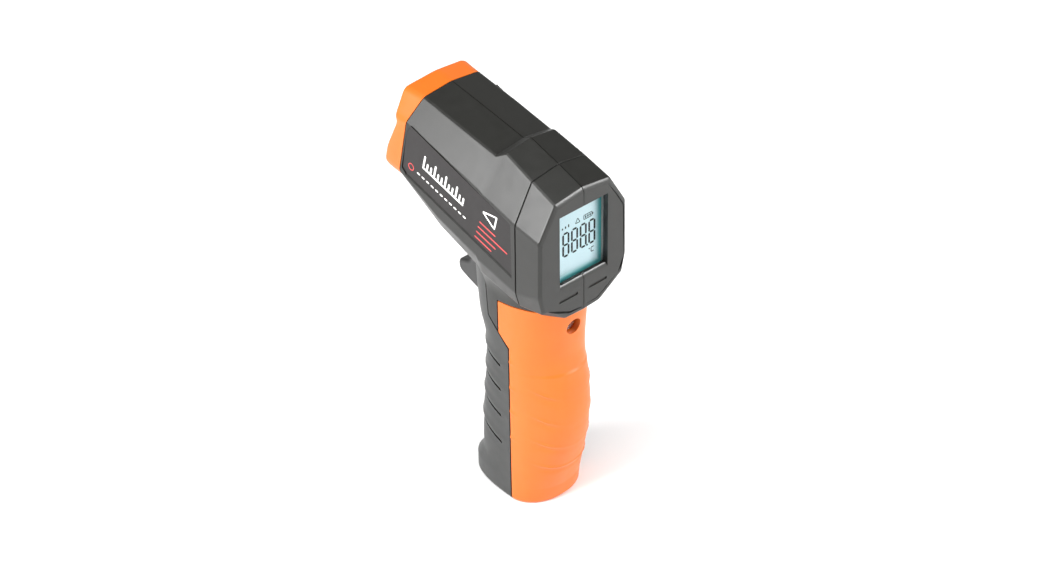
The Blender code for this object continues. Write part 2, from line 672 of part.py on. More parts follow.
rear_grip = lofted("rear_grip", grip_rings(0.0, 0.0, 112.0), "orange", smooth=True)
keep(rear_grip, grip_region)
cut(rear_grip, grip_space)
FLOOR_T = 2.0
LUG_IN, LUG_OUT = 7.4, 9.8
LUG_R = 2.6
HY, HZ = DOOR_PIVOT
floor_plate = box("floor_plate", (-12.0, -8.0, 0.0), (12.0, HY - 3.4, FLOOR_T))
add(rear_grip, floor_plate)
for side in (-1, 1):
    low, high = sorted((side * LUG_IN, side * LUG_OUT))
    add(
        rear_grip,
        box(f"hinge_lug_{side}", (low, HY - 6.0, 0.1), (high, HY, HZ + LUG_R)),
        rod(f"hinge_eye_{side}", "X", (0, HY, HZ), LUG_R, low, high, sides=24),
    )
cut(rear_grip, rod("lug_bore", "X", (0, HY, HZ), DOOR_PIN_R + GAP, -20, 20, sides=20))
add(rear_grip, rod("grip_screw_cup", "Y", (0, 0, GRIP_SCREW_Z), CUP_OUT_R, -23.4, CUP_END_Y, sides=28))
cut(
    rear_grip,
    rod("grip_screw_hole", "Y", (0, 0, GRIP_SCREW_Z), SHAFT_R + GAP, -40, -15, sides=16),
    rod("grip_screw_seat", "Y", (0, 0, GRIP_SCREW_Z), CUP_R, -40, CUP_SEAT_Y, sides=28),
)
HEAD_BACK_Y = CUP_SEAT_Y - GAP - 1.8
grip_screw = rod("grip_screw", "Y", (0, 0, GRIP_SCREW_Z), SHAFT_R, HEAD_BACK_Y + 1.2, -11.0, "steel", sides=16)
add(grip_screw, rod("grip_screw_head", "Y", (0, 0, GRIP_SCREW_Z), 2.7, HEAD_BACK_Y, HEAD_BACK_Y + 1.8, sides=24))
cut(
    grip_screw,
    box("grip_screw_slot", (-1.9, -26, GRIP_SCREW_Z - 0.35), (1.9, HEAD_BACK_Y + 0.9, GRIP_SCREW_Z + 0.35)),
    box("grip_screw_cross", (-0.35, -26, GRIP_SCREW_Z - 1.9), (0.35, HEAD_BACK_Y + 0.9, GRIP_SCREW_Z + 1.9)),
)

door_pivot = empty("door_pivot", (0.0, HY, HZ))


def on_door(made):
    made.parent = door_pivot
    made.location = made.location - Vector((0.0, HY, HZ)) * MM
    return made


battery_door = on_door(lofted("battery_door", grip_rings(0.0, 0.0, 112.0), "grip_black", smooth=True))
keep(battery_door, door_region)
cut(
    battery_door, grip_space,
    box("door_slot", (-SLOT_HALF - 0.6, -10, 77.2), (SLOT_HALF + 0.6, 40, 125)),
    box("door_floor_cut", (-12.4, -12, -3), (12.4, HY + 1.6, 3.0)),
    box("door_lug_cut", (-LUG_OUT - 0.5, HY - 4, -3), (LUG_OUT + 0.5, HY + 3.6, 3.0)),
)
add(
    battery_door,
    box("door_web", (-LUG_IN + 0.5, HY + 1.0, 0.2), (LUG_IN - 0.5, 20.8, HZ + 2.2)),
    rod("door_knuckle", "X", (0, HY, HZ), 2.6, 0.5 - LUG_IN, LUG_IN - 0.5, sides=24),
)
cut(battery_door, rod("knuckle_bore", "X", (0, HY, HZ), DOOR_PIN_R + GAP, -LUG_IN, LUG_IN, sides=20))
rod("door_pin", "X", (0, HY, HZ), DOOR_PIN_R, 0.2 - LUG_OUT, LUG_OUT - 0.2, "steel", sides=20)

# ---------------------------------------------------------------------------
# Battery, snap connector, wires, pad and unit selector
# ---------------------------------------------------------------------------

BW, BD, BH = BATTERY
by0, by1 = BATTERY_MID_Y - BD / 2, BATTERY_MID_Y + BD / 2
battery_top = BATTERY_FLOOR + BH
box("battery_case", (-BW / 2, by0, BATTERY_FLOOR), (BW / 2, by1, battery_top), "battery", 1.2)
TERMINAL_Y = 6.35
STUD_R, SOCKET_R = 2.9, 3.9
rod("battery_stud", "Z", (0, BATTERY_MID_Y + TERMINAL_Y, battery_top + GAP), STUD_R, 0, 1.9, "steel", sides=20)
rod("battery_socket", "Z", (0, BATTERY_MID_Y - TERMINAL_Y, battery_top + GAP), SOCKET_R, 0, 1.9, "steel", sides=6)
SNAP_Z = battery_top + 2.6
box(
    "snap_connector", (-BW / 2 + 1, by0 + 0.6, SNAP_Z), (BW / 2 - 1, by1 - 0.6, SNAP_Z + 3.4), "chip", 0.6)

box("battery_pad", (-6.0, by0 + 3, BATTERY_FLOOR - 2.0), (6.0, by1 - 8.5, BATTERY_FLOOR - GAP), "foam")


def wire(name, points, look):
    curve = bpy.data.curves.new(name, "CURVE")
    curve.dimensions = "3D"
    curve.resolution_u = 3
    curve.bevel_depth = 0.55 * MM
    curve.bevel_resolution = 2
    curve.use_fill_caps = True
    spline = curve.splines.new("BEZIER")
    spline.bezier_points.add(len(points) - 1)
    for knot, place in zip(spline.bezier_points, points):
        knot.co = [value * MM for value in place]
        knot.handle_left_type = "AUTO"
        knot.handle_right_type = "AUTO"
    made = bpy.data.objects.new(name, curve)
    PARTS.objects.link(made)
    curve.materials.append(material(look))
    return made


for side, name, look in ((1, "red_wire", "red"), (-1, "black_wire", "black_wire")):
    wire(name, (
        (side * 4.0, by0 + 4.5, SNAP_Z + 3.4 + GAP),
        (side * 5.5, by0 + 4.0, SNAP_Z + 9.0),
        (side * 7.0, -8.0, 76.0),
        (side * 7.4, -5.6, 92.0),
        (side * 8.0, -8.0, 106.0),
        (side * 8.0, -19.2, 114.0),
    ), look)

SELECT_Z = 76.6
selector_body = box("unit_selector", (-4.2, 2.2, SELECT_Z - 2.2), (4.2, 6.2, SELECT_Z + 2.2), "steel")
cut(selector_body, box(
    "selector_window", (-2.9, 4.6, SELECT_Z - 1.1 - GAP), (2.9, 8.0, SELECT_Z + 1.1 + GAP)))
box("unit_slider", (-2.6, 5.0, SELECT_Z - 1.1), (-2.6 + 3.2, 7.6, SELECT_Z + 1.1), "chip")
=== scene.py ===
"""Infrared thermometer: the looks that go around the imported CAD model."""

import json
import math

import bmesh
import bpy
from mathutils import Matrix, Vector


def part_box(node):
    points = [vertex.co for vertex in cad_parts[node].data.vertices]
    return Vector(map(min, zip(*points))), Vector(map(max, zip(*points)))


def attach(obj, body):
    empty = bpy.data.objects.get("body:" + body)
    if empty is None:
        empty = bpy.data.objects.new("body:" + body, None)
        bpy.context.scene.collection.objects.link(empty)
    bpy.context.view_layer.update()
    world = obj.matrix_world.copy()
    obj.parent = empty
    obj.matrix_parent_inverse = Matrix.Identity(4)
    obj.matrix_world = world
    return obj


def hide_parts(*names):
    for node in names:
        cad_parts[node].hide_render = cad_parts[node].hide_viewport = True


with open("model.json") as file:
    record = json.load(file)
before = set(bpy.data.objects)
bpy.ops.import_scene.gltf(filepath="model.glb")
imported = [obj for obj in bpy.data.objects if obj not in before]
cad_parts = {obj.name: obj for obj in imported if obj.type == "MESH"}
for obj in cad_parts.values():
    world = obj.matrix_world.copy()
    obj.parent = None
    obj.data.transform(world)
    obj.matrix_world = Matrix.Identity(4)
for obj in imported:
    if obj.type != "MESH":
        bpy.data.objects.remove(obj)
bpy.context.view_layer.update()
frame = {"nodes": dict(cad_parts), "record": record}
MM = 0.001
PITCH = math.radians(15)                # the barrel points up this much
LENS_CENTRE = Vector((0.0, 45.5, 139.0))

# ---------------------------------------------------------------------------
# Materials. Texture scales are per metre: 1000 is about one millimetre.
# ---------------------------------------------------------------------------


def new_material(name):
    made = bpy.data.materials.new(name)
    made.use_nodes = True
    tree = made.node_tree
    shader = tree.nodes["Principled BSDF"]
    where = tree.nodes.new("ShaderNodeTexCoord")
    return made, tree, shader, where


def noise(tree, where, scale, detail=3.0, rough=0.55, stretch=None):
    """Noise value in object space, optionally finer or coarser along each axis."""
    node = tree.nodes.new("ShaderNodeTexNoise")
    node.inputs["Scale"].default_value = scale
    node.inputs["Detail"].default_value = detail
    node.inputs["Roughness"].default_value = rough
    source = where.outputs["Object"]
    if stretch:
        mapping = tree.nodes.new("ShaderNodeMapping")
        mapping.inputs["Scale"].default_value = stretch
        tree.links.new(source, mapping.inputs["Vector"])
        source = mapping.outputs["Vector"]
    tree.links.new(source, node.inputs["Vector"])
    return node.outputs["Fac"]


def ramp(tree, source, stops):
    """Colours at places between 0 and 1 of the source value."""
    node = tree.nodes.new("ShaderNodeValToRGB")
    bar = node.color_ramp
    while len(bar.elements) < len(stops):
        bar.elements.new(0.5)
    for element, (place, colour) in zip(bar.elements, stops):
        element.position = place
        element.color = (*colour, 1.0)
    tree.links.new(source, node.inputs["Fac"])
    return node.outputs["Color"]


def spread(tree, source, low, high):
    """A noise value, whose usual range is 0.3 to 0.7, mapped to run from low to high."""
    node = tree.nodes.new("ShaderNodeMapRange")
    node.inputs["From Min"].default_value = 0.3
    node.inputs["From Max"].default_value = 0.7
    node.inputs["To Min"].default_value = low
    node.inputs["To Max"].default_value = high
    tree.links.new(source, node.inputs["Value"])
    return node.outputs["Result"]


def bump(tree, shader, source, strength, depth):
    node = tree.nodes.new("ShaderNodeBump")
    node.inputs["Strength"].default_value = strength
    node.inputs["Distance"].default_value = depth * MM
    tree.links.new(source, node.inputs["Height"])
    tree.links.new(node.outputs["Normal"], shader.inputs["Normal"])


def shade(colour, factor):
    return tuple(min(1.0, max(0.0, value * factor)) for value in colour)


def plastic(
        name, colour, rough=0.4, grain=2600.0, depth=0.03, strength=0.25, mottle=0.06, specular=0.5):
    """Moulded plastic: faint mottling, uneven gloss and a fine spark-eroded grain."""
    made, tree, shader, where = new_material(name)
    blotch = noise(tree, where, 90.0, 4.0)
    tint = ramp(tree, blotch, ((0.3, shade(colour, 1 - mottle)), (0.7, shade(colour, 1 + mottle))))
    tree.links.new(tint, shader.inputs["Base Color"])
    gloss = noise(tree, where, 260.0, 5.0)
    tree.links.new(spread(tree, gloss, rough - 0.035, rough + 0.045), shader.inputs["Roughness"])
    bump(tree, shader, noise(tree, where, grain, 2.0), strength, depth)
    shader.inputs["Specular IOR Level"].default_value = specular
    return made


def metal(name, colour, rough, stretch):
    """Turned or drawn metal; the streaks run along the axis whose scale is smallest."""
    made, tree, shader, where = new_material(name)
    streak = noise(tree, where, 900.0, 6.0, 0.6, stretch)
    tint = ramp(tree, streak, ((0.3, shade(colour, 0.85)), (0.7, shade(colour, 1.1))))
    tree.links.new(tint, shader.inputs["Base Color"])
    tree.links.new(spread(tree, streak, rough - 0.08, rough + 0.1), shader.inputs["Roughness"])
    bump(tree, shader, streak, 0.15, 0.02)
    shader.inputs["Metallic"].default_value = 1.0
    return made


def board(name):
    """Solder mask over copper tracks."""
    made, tree, shader, where = new_material(name)
    brick = tree.nodes.new("ShaderNodeTexBrick")
    brick.inputs["Scale"].default_value = 260.0
    brick.inputs["Mortar Size"].default_value = 0.03
    brick.inputs["Color1"].default_value = (0.012, 0.13, 0.05, 1)
    brick.inputs["Color2"].default_value = (0.015, 0.16, 0.06, 1)
    brick.inputs["Mortar"].default_value = (0.05, 0.30, 0.12, 1)
    turn = tree.nodes.new("ShaderNodeMapping")
    turn.inputs["Rotation"].default_value = (math.pi / 2, 0.0, 0.0)
    tree.links.new(where.outputs["Object"], turn.inputs["Vector"])
    tree.links.new(turn.outputs["Vector"], brick.inputs["Vector"])
    tree.links.new(brick.outputs["Color"], shader.inputs["Base Color"])
    tree.links.new(spread(tree, noise(tree, where, 500.0), 0.3, 0.42), shader.inputs["Roughness"])
    bump(tree, shader, brick.outputs["Fac"], 0.3, 0.05)
    return made


TEAL_SIDE = (8.8, 11.6)         # across the panel, where the teal edge starts and is full
TEAL_FOOT = (113.6, 110.4)      # the same, downwards


def lcd_glass(name):
    """Pale panel tinted darker teal towards its right and lower edges, with a painted glow: it weakly emits
    its own colour, though it is no lamp.
    """
    made, tree, shader, where = new_material(name)
    split = tree.nodes.new("ShaderNodeSeparateXYZ")
    tree.links.new(where.outputs["Object"], split.inputs["Vector"])

    def edge(axis, start, end):
        node = tree.nodes.new("ShaderNodeMapRange")
        node.interpolation_type = "SMOOTHSTEP"
        node.inputs["From Min"].default_value = start * MM
        node.inputs["From Max"].default_value = end * MM
        tree.links.new(split.outputs[axis], node.inputs["Value"])
        return node.outputs["Result"]

    both = tree.nodes.new("ShaderNodeMath")
    both.operation = "MAXIMUM"
    tree.links.new(edge("X", *TEAL_SIDE), both.inputs[0])
    tree.links.new(edge("Z", *TEAL_FOOT), both.inputs[1])
    tint = ramp(tree, both.outputs[0], (
        (0.0, (0.47, 0.60, 0.64)), (0.55, (0.30, 0.52, 0.55)), (1.0, (0.08, 0.33, 0.34))))
    soft = noise(tree, where, 70.0, 2.0)
    mix = tree.nodes.new("ShaderNodeMix")
    mix.data_type = "RGBA"
    mix.blend_type = "MULTIPLY"
    mix.inputs["Factor"].default_value = 1.0
    tree.links.new(tint, mix.inputs[6])
    tree.links.new(ramp(tree, soft, ((0.3, (0.95, 0.96, 0.97)), (0.7, (1.0, 1.0, 1.0)))), mix.inputs[7])
    tree.links.new(mix.outputs[2], shader.inputs["Base Color"])
    # Painted glow: the panel's colour is also emitted at low strength to brighten it; no lamp lights it
    # from behind.
    tree.links.new(mix.outputs[2], shader.inputs["Emission Color"])
    shader.inputs["Emission Strength"].default_value = 0.15
    tree.links.new(spread(tree, noise(tree, where, 1500.0), 0.18, 0.26), shader.inputs["Roughness"])
    return made


def clear(name, colour):
    """Thin clear plastic, nearly without refraction because both faces are so close."""
    made, tree, shader, where = new_material(name)
    shader.inputs["Transmission Weight"].default_value = 1.0
    shader.inputs["IOR"].default_value = 1.1
    shader.inputs["Base Color"].default_value = (*colour, 1)
    tree.links.new(spread(tree, noise(tree, where, 400.0), 0.03, 0.05), shader.inputs["Roughness"])
    return made


def ribbed_lens(name):
    """Milky infrared lens with the fine rings of a Fresnel face."""
    made, tree, shader, where = new_material(name)
    turn = tree.nodes.new("ShaderNodeMapping")
    turn.inputs["Rotation"].default_value = (-PITCH, 0, 0)
    shift = tree.nodes.new("ShaderNodeVectorMath")
    shift.operation = "SUBTRACT"
    shift.inputs[1].default_value = LENS_CENTRE * MM
    tree.links.new(where.outputs["Object"], shift.inputs[0])
    tree.links.new(shift.outputs[0], turn.inputs["Vector"])
    wave = tree.nodes.new("ShaderNodeTexWave")
    wave.wave_type = "RINGS"
    wave.rings_direction = "Y"
    wave.inputs["Scale"].default_value = 420.0
    tree.links.new(turn.outputs["Vector"], wave.inputs["Vector"])
    tint = ramp(tree, wave.outputs["Fac"], ((0.2, (0.62, 0.62, 0.58)), (0.8, (0.78, 0.78, 0.74))))
    tree.links.new(tint, shader.inputs["Base Color"])
    tree.links.new(spread(tree, noise(tree, where, 800.0), 0.22, 0.32), shader.inputs["Roughness"])
    bump(tree, shader, wave.outputs["Fac"], 0.5, 0.08)
    shader.inputs["Subsurface Weight"].default_value = 0.2
    shader.inputs["Subsurface Scale"].default_value = 0.002
    return made


LOOKS = {
    "housing": plastic("housing_look", (0.016, 0.016, 0.0145), 0.33, 2400.0, 0.02, 0.2, 0.06, 0.4),
    "orange": plastic("orange_look", (0.58, 0.120, 0.010), 0.40, 2200.0, 0.02, 0.2, 0.03, 0.4),
    "grip_black": plastic("grip_black_look", (0.034, 0.035, 0.034), 0.44, 2000.0, 0.03, 0.3, 0.06, 0.4),
    "trigger_black": plastic("trigger_black_look", (0.026, 0.026, 0.026), 0.36, 2400.0, 0.02, 0.2),
    "label": plastic("label_look", (0.013, 0.011, 0.011), 0.34, 3500.0, 0.012, 0.2, 0.04, 0.28),
    "window": clear("window_look", (0.96, 0.99, 0.99)),
    "lcd": lcd_glass("lcd_look"),
    "backlight": plastic("backlight_look", (0.25, 0.55, 0.58), 0.3, 900.0, 0.02),
    "white_plastic": plastic("white_plastic_look", (0.72, 0.72, 0.69), 0.42),
    "board": board("board_look"),
    "steel": metal("steel_look", (0.62, 0.62, 0.63), 0.26, (0.2, 0.2, 0.2)),
    "brass": metal("brass_look", (0.72, 0.50, 0.22), 0.26, (6.0, 0.3, 6.0)),
    "lens": ribbed_lens("lens_look"),
    "battery": metal("battery_look", (0.10, 0.15, 0.30), 0.34, (1.0, 1.0, 0.2)),
    "foam": plastic("foam_look", (0.05, 0.05, 0.05), 0.85, 1400.0, 0.4, 0.9, 0.2, 0.2),
    "red": plastic("red_look", (0.50, 0.02, 0.02), 0.42, 1500.0),
    "black_wire": plastic("black_wire_look", (0.02, 0.02, 0.02), 0.42, 1500.0),
    "chip": plastic("chip_look", (0.025, 0.025, 0.026), 0.5, 1800.0, 0.04, 0.35),
}
INK = plastic("segment_ink_look", (0.004, 0.008, 0.010), 0.6, 2500.0, 0.01, 0.2, 0.1, 0.1)
WHITE_INK = plastic("white_ink_look", (0.82, 0.82, 0.80), 0.5, 3000.0, 0.01, 0.15, 0.05)
RED_INK = plastic("red_ink_look", (0.50, 0.045, 0.045), 0.5, 3000.0, 0.01, 0.15, 0.1)
FLOOR = plastic("floor_look", (0.84, 0.84, 0.84), 0.75, 60.0, 0.05, 0.05, 0.004, 0.2)

for entry in frame["record"]["subparts"]:
    node = frame["nodes"][entry["node"]]
    node.data.materials.clear()
    node.data.materials.append(LOOKS[entry["material_slot"]])

# ---------------------------------------------------------------------------
# Mesh helpers. Everything below is in millimetres until a mesh is made.
# ---------------------------------------------------------------------------


def object_from(mesh, name, look=None):
    """Object made of a bmesh, with its normals facing out."""
    bmesh.ops.recalc_face_normals(mesh, faces=mesh.faces)
    data = bpy.data.meshes.new(name)
    mesh.to_mesh(data)
    mesh.free()
    made = bpy.data.objects.new(name, data)
    bpy.context.scene.collection.objects.link(made)
    if look:
        data.materials.append(look)
    return made


def loft(name, rings, closed_ring=False, flat=False):
    """Skin over rings of points, capped at both ends or joined end to end."""
    mesh = bmesh.new()
    loops = [[mesh.verts.new(Vector(point) * MM) for point in ring] for ring in rings]
    pairs = list(zip(loops, loops[1:]))
    if closed_ring:
        pairs.append((loops[-1], loops[0]))
    for first, second in pairs:
        count = len(first)
        for i in range(count):
            j = (i + 1) % count
            mesh.faces.new((first[i], first[j], second[j], second[i]))
    if not closed_ring:
        mesh.faces.new(loops[0])
        mesh.faces.new(loops[-1])
    if flat:
        bmesh.ops.triangulate(mesh, faces=mesh.faces)
    return object_from(mesh, name)


def prism(name, outline, half):
    """Slab over a (y, z) outline, half thick to either side of the middle plane."""
    return loft(name, [[(x, y, z) for y, z in outline] for x in (-half, half)])


def face_prism(name, outline, low, high):
    """Slab over an (x, z) outline, from y = low to y = high."""
    return loft(name, [[(x, y, z) for x, z in outline] for y in (low, high)])


def box(name, low, high):
    (x0, y0, z0), (x1, y1, z1) = low, high
    return face_prism(name, ((x0, z0), (x1, z0), (x1, z1), (x0, z1)), y0, y1)


TURN = {
    "X": Matrix.Rotation(math.pi / 2, 4, "Y"),
    "Y": Matrix.Rotation(-math.pi / 2, 4, "X"),
}
ROD_SIDES = 48


def rod(name, axis, centre, radius, start, end):
    """Round bar along X or Y, from start to end as measured from a centre."""
    mesh = bmesh.new()
    middle = Vector(centre)
    middle["XYZ".index(axis)] += (start + end) / 2
    place = Matrix.Translation(middle * MM) @ TURN[axis]
    bmesh.ops.create_cone(
        mesh, cap_ends=True, segments=ROD_SIDES, radius1=radius * MM, radius2=radius * MM,
        depth=(end - start) * MM, matrix=place)
    return object_from(mesh, name)


def bake(target):
    """Swap the object's mesh for the result of its modifiers."""
    graph = bpy.context.evaluated_depsgraph_get()
    graph.update()
    fresh = bpy.data.meshes.new_from_object(target.evaluated_get(graph))
    target.modifiers.clear()
    target.data = fresh
    return target


def combine(target, others, operation):
    for other in others:
        step = target.modifiers.new("step", "BOOLEAN")
        step.operation = operation
        step.solver = "EXACT"
        step.object = other
    bake(target)
    for other in others:
        bpy.data.objects.remove(other, do_unlink=True)
    return target


def cut(target, *others):
    return combine(target, others, "DIFFERENCE")


def add(target, *others):
    return combine(target, others, "UNION")


def keep(target, *others):
    return combine(target, others, "INTERSECT")


WELD = 0.002                            # points that are closer than this are merged


def finish_piece(piece, look, body, nodes=(), bevel=0.0, angle=35.0, segments=2):
    """Rounded edges, shading and the frame's bookkeeping."""
    mesh = bmesh.new()
    mesh.from_mesh(piece.data)
    bmesh.ops.remove_doubles(mesh, verts=mesh.verts, dist=WELD * MM)
    bmesh.ops.dissolve_degenerate(mesh, edges=mesh.edges, dist=WELD * MM)
    mesh.to_mesh(piece.data)
    mesh.free()
    piece.data.materials.clear()
    piece.data.materials.append(look)
    for face in piece.data.polygons:
        face.use_smooth = True
        face.material_index = 0
    if bevel:
        edge = piece.modifiers.new("edges", "BEVEL")
        edge.width = bevel * MM
        edge.segments = segments
        edge.limit_method = "ANGLE"
        edge.angle_limit = math.radians(angle)
        edge.use_clamp_overlap = True
        edge.miter_outer = "MITER_ARC"
    else:
        piece.data.set_sharp_from_angle(angle=math.radians(angle))
    even = piece.modifiers.new("even", "WEIGHTED_NORMAL")
    even.keep_sharp = True
    even.weight = 100
    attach(piece, body)
    if nodes:
        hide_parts(*nodes)
    return piece


def offset_outline(points, inset):
    """Closed outline moved inwards along its corners; a negative inset widens it."""
    count = len(points)
    following = points[1:] + points[:1]
    area = sum(a[0] * b[1] - b[0] * a[1] for a, b in zip(points, following))
    turn = 1 if area > 0 else -1
    moved = []
    for i in range(count):
        here = Vector(points[i])
        before = (here - Vector(points[i - 1])).normalized()
        after = (Vector(following[i]) - here).normalized()
        normal_a = Vector((-before.y, before.x)) * turn
        normal_b = Vector((-after.y, after.x)) * turn
        bisector = (normal_a + normal_b).normalized()
        moved.append(here + bisector * inset / max(0.5, bisector.dot(normal_a)))
    return moved


CURVE_STEPS = 4
MOST_OF_EDGE = 0.42                     # a rounded corner takes up no more than this of an edge


def rounded(ring, radius):
    """Closed polyline whose corners are drawn as short curves."""
    made = []
    count = len(ring)
    for i, corner in enumerate(ring):
        corner = Vector(corner)
        ends = []
        for other in (Vector(ring[i - 1]), Vector(ring[(i + 1) % count])):
            way = other - corner
            ends.append(corner + way * min(MOST_OF_EDGE, radius / max(way.length, 0.001)))
        for k in range(CURVE_STEPS + 1):
            t = k / CURVE_STEPS
            made.append(ends[0] * (1 - t) ** 2 + corner * 2 * t * (1 - t) + ends[1] * t * t)
    return made


def smooth_path(points):
    """Closed Catmull-Rom curve through the points."""
    made = []
    count = len(points)
    for i in range(count):
        p0, p1, p2, p3 = (Vector(points[(i + k) % count]) for k in (-1, 0, 1, 2))
        for k in range(CURVE_STEPS):
            t = k / CURVE_STEPS
            made.append(0.5 * ((2 * p1) + (p2 - p0) * t + (2 * p0 - 5 * p1 + 4 * p2 - p3) * t * t
                               + (3 * p1 - p0 - 3 * p2 + p3) * t ** 3))
    return made


def step_between(value, low, high):
    """Smooth step from 0 at low to 1 at high."""
    t = min(1.0, max(0.0, (value - low) / (high - low)))
    return t * t * (3 - 2 * t)


def bell(value, middle, width):
    """Smooth hump that is 1 at the middle."""
    return math.exp(-((value - middle) / width) ** 2)


# ---------------------------------------------------------------------------
# Grip sections, shared by the neck, the rear grip and the battery door
# ---------------------------------------------------------------------------

GRIP_MID_Y = -5.0
# Height, then the front, back and half width there.
GRIP = (
    (0.0, 21.0, -17.2, 15.2), (1.4, 22.0, -18.4, 16.0), (8.0, 22.0, -19.6, 16.0),
    (13.5, 18.0, -21.4, 16.0), (20.0, 17.5, -23.6, 16.0), (30.0, 17.2, -26.2, 16.0),
    (40.0, 16.2, -27.7, 16.0), (48.0, 15.3, -28.2, 16.0), (58.0, 14.4, -27.2, 16.0),
    (66.0, 14.1, -25.2, 16.0), (72.0, 14.4, -23.8, 16.0), (79.0, 17.4, -24.0, 16.0),
    (89.0, 19.0, -25.2, 16.0), (98.0, 19.8, -26.2, 16.0), (106.0, 20.6, -26.8, 16.0),
    (115.0, 21.6, -26.8, 15.6),
)
FOOT_SECTIONS = 3                       # below this index the sections are joined by straight lines
AHEAD_POWER, BEHIND_POWER = 3.0, 2.15   # how square the outline is at the front and at the back


def power(value, exponent):
    """Power of the size of a value, with its sign kept."""
    return math.copysign(abs(value) ** exponent, value)


def between(a, b, c, d, t):
    """Catmull-Rom value between b and c."""
    return 0.5 * (2 * b + (c - a) * t + (2 * a - 5 * b + 4 * c - d) * t * t
                  + (3 * b - a - 3 * c + d) * t ** 3)


def grip_size(z):
    """Front, back and half width of the grip at a height."""
    z = min(max(z, GRIP[0][0]), GRIP[-1][0])
    i = max(k for k in range(len(GRIP) - 1) if GRIP[k][0] <= z + 1e-6)
    a, b = GRIP[i], GRIP[i + 1]
    t = (z - a[0]) / (b[0] - a[0])
    if i < FOOT_SECTIONS:
        return [a[k] * (1 - t) + b[k] * t for k in (1, 2, 3)]
    before, after = GRIP[i - 1], GRIP[min(i + 2, len(GRIP) - 1)]
    return [between(before[k], a[k], b[k], after[k], t) for k in (1, 2, 3)]


def grip_ring(z, inset=0.0, sides=96, relief=None, flare=0.0):
    """Outline of the grip at a height, with its surface pushed out by relief(y, z)."""
    front, back, half = grip_size(z)
    ring = []
    for k in range(sides):
        angle = 2 * math.pi * (k + 0.5) / sides
        ahead = math.sin(angle) > 0
        exponent = 2 / (AHEAD_POWER if ahead else BEHIND_POWER)
        depth = (front - GRIP_MID_Y if ahead else GRIP_MID_Y - back) - inset
        across = half - inset + flare
        x = across * power(math.cos(angle), exponent)
        y = GRIP_MID_Y + depth * power(math.sin(angle), exponent)
        if relief:
            lift = relief(y, z)
            outward = Vector((x / max(across, 1) ** 2, (y - GRIP_MID_Y) / max(depth, 1) ** 2))
            if outward.length > 0:
                outward.normalize()
            x += outward.x * lift
            y += outward.y * lift
        ring.append((x, y, z))
    return ring


def grip_loft(name, low, high, inset, pitch, relief=None, sides=96):
    """Solid stack of grip outlines between two heights, about one pitch apart."""
    count = max(2, int(round((high - low) / pitch)))
    heights = [low + (high - low) * i / count for i in range(count + 1)]
    return loft(name, [grip_ring(z, inset, sides, relief) for z in heights])


GROOVES = (67.2, 55.6, 43.2, 30.2)      # heights of the finger grooves on the front of the grip
GROOVE_Y = 14.5                         # where those heights are measured
SLOPE = 0.31                            # they fall this much per unit towards the back


def door_relief(y, z):
    """Low swells over and hollows under the finger grooves, fading before the seam."""
    lift = 0.0
    fade = step_between(y, -4.4, -0.4)
    for height in GROOVES:
        offset = z - (height - SLOPE * (GROOVE_Y - y))
        lift += 0.38 * fade * bell(offset, 2.2, 1.6)
        lift -= 0.30 * fade * bell(offset, -1.6, 2.2)
    return lift


GROOVE_SIDES = 64
SETTLE_ROUNDS = 3                       # enough for a sloping point to settle on the surface
# Section of a groove's cutter as (inset, lift): it gets narrower and lower inwards.
GROOVE_SECTION = ((-1.5, 1.75), (-1.5, 0.35), (1.7, -1.9), (1.7, -0.8))
GROOVE_END_Y = -1.0                     # the grooves stop here, short of the seam


def sloping_ring(height, inset, lift):
    """Grip outline that follows a groove's slope, moved in by inset and up by lift."""
    ring = []
    for k in range(GROOVE_SIDES):
        z = height
        for _ in range(SETTLE_ROUNDS):
            y = grip_ring(z, inset, GROOVE_SIDES)[k][1]
            z = height - SLOPE * (GROOVE_Y - y)
        x, y = grip_ring(z, inset, GROOVE_SIDES)[k][:2]
        ring.append((x, y, z + lift))
    return ring


def groove_cutters():
    """Narrow slots that run inwards and down through the skin of the door."""
    made = []
    for i, height in enumerate(GROOVES):
        rings = [sloping_ring(height, inset, lift) for inset, lift in GROOVE_SECTION]
        slot = loft(f"groove_{i}", rings, closed_ring=True, flat=True)
        made.append(keep(slot, box("ahead", (-SIDE, GROOVE_END_Y, 0.0), (SIDE, 40.0, 90.0))))
    return made


STEP_Z = 65.2                           # height of the step round the back of the rear grip
BACK_RIDGES = (57.0, 45.0, 33.0, 21.0)  # heights of the long ridges towards the back
SEAM_RIDGES = (67.0, 55.0, 43.5, 31.0)  # and of the short ones beside the seam


def rear_relief(y, z):
    """The raised lower part of the rear grip and its low sloping ridges."""
    behind = step_between(-y, 11.0, 20.0)
    line = STEP_Z - 0.12 * (y + 26.0)
    raised = 0.42 * (1.0 - step_between(z, line - 0.4, line + 0.4))
    sunk = 1.0 - step_between(z, 60.0, 76.0)
    lift = behind * (raised - sunk) * step_between(z, 4.0, 26.0)
    for height in BACK_RIDGES:
        offset = z - (height + SLOPE * (y + 18.0))
        near = bell(y, -21.0, 3.4)
        lift += 0.50 * near * bell(offset, 0.5, 0.55)
        lift -= 0.42 * near * bell(offset, -1.5, 1.5)
    for height in SEAM_RIDGES:
        offset = z - (height + SLOPE * (y + 6.0))
        lift += 0.40 * bell(y, -6.0, 2.2) * bell(offset, 0.4, 0.6)
    return lift


# ---------------------------------------------------------------------------
# Head, as two halves that meet on the middle plane
# ---------------------------------------------------------------------------

REAR_Y = -30.0
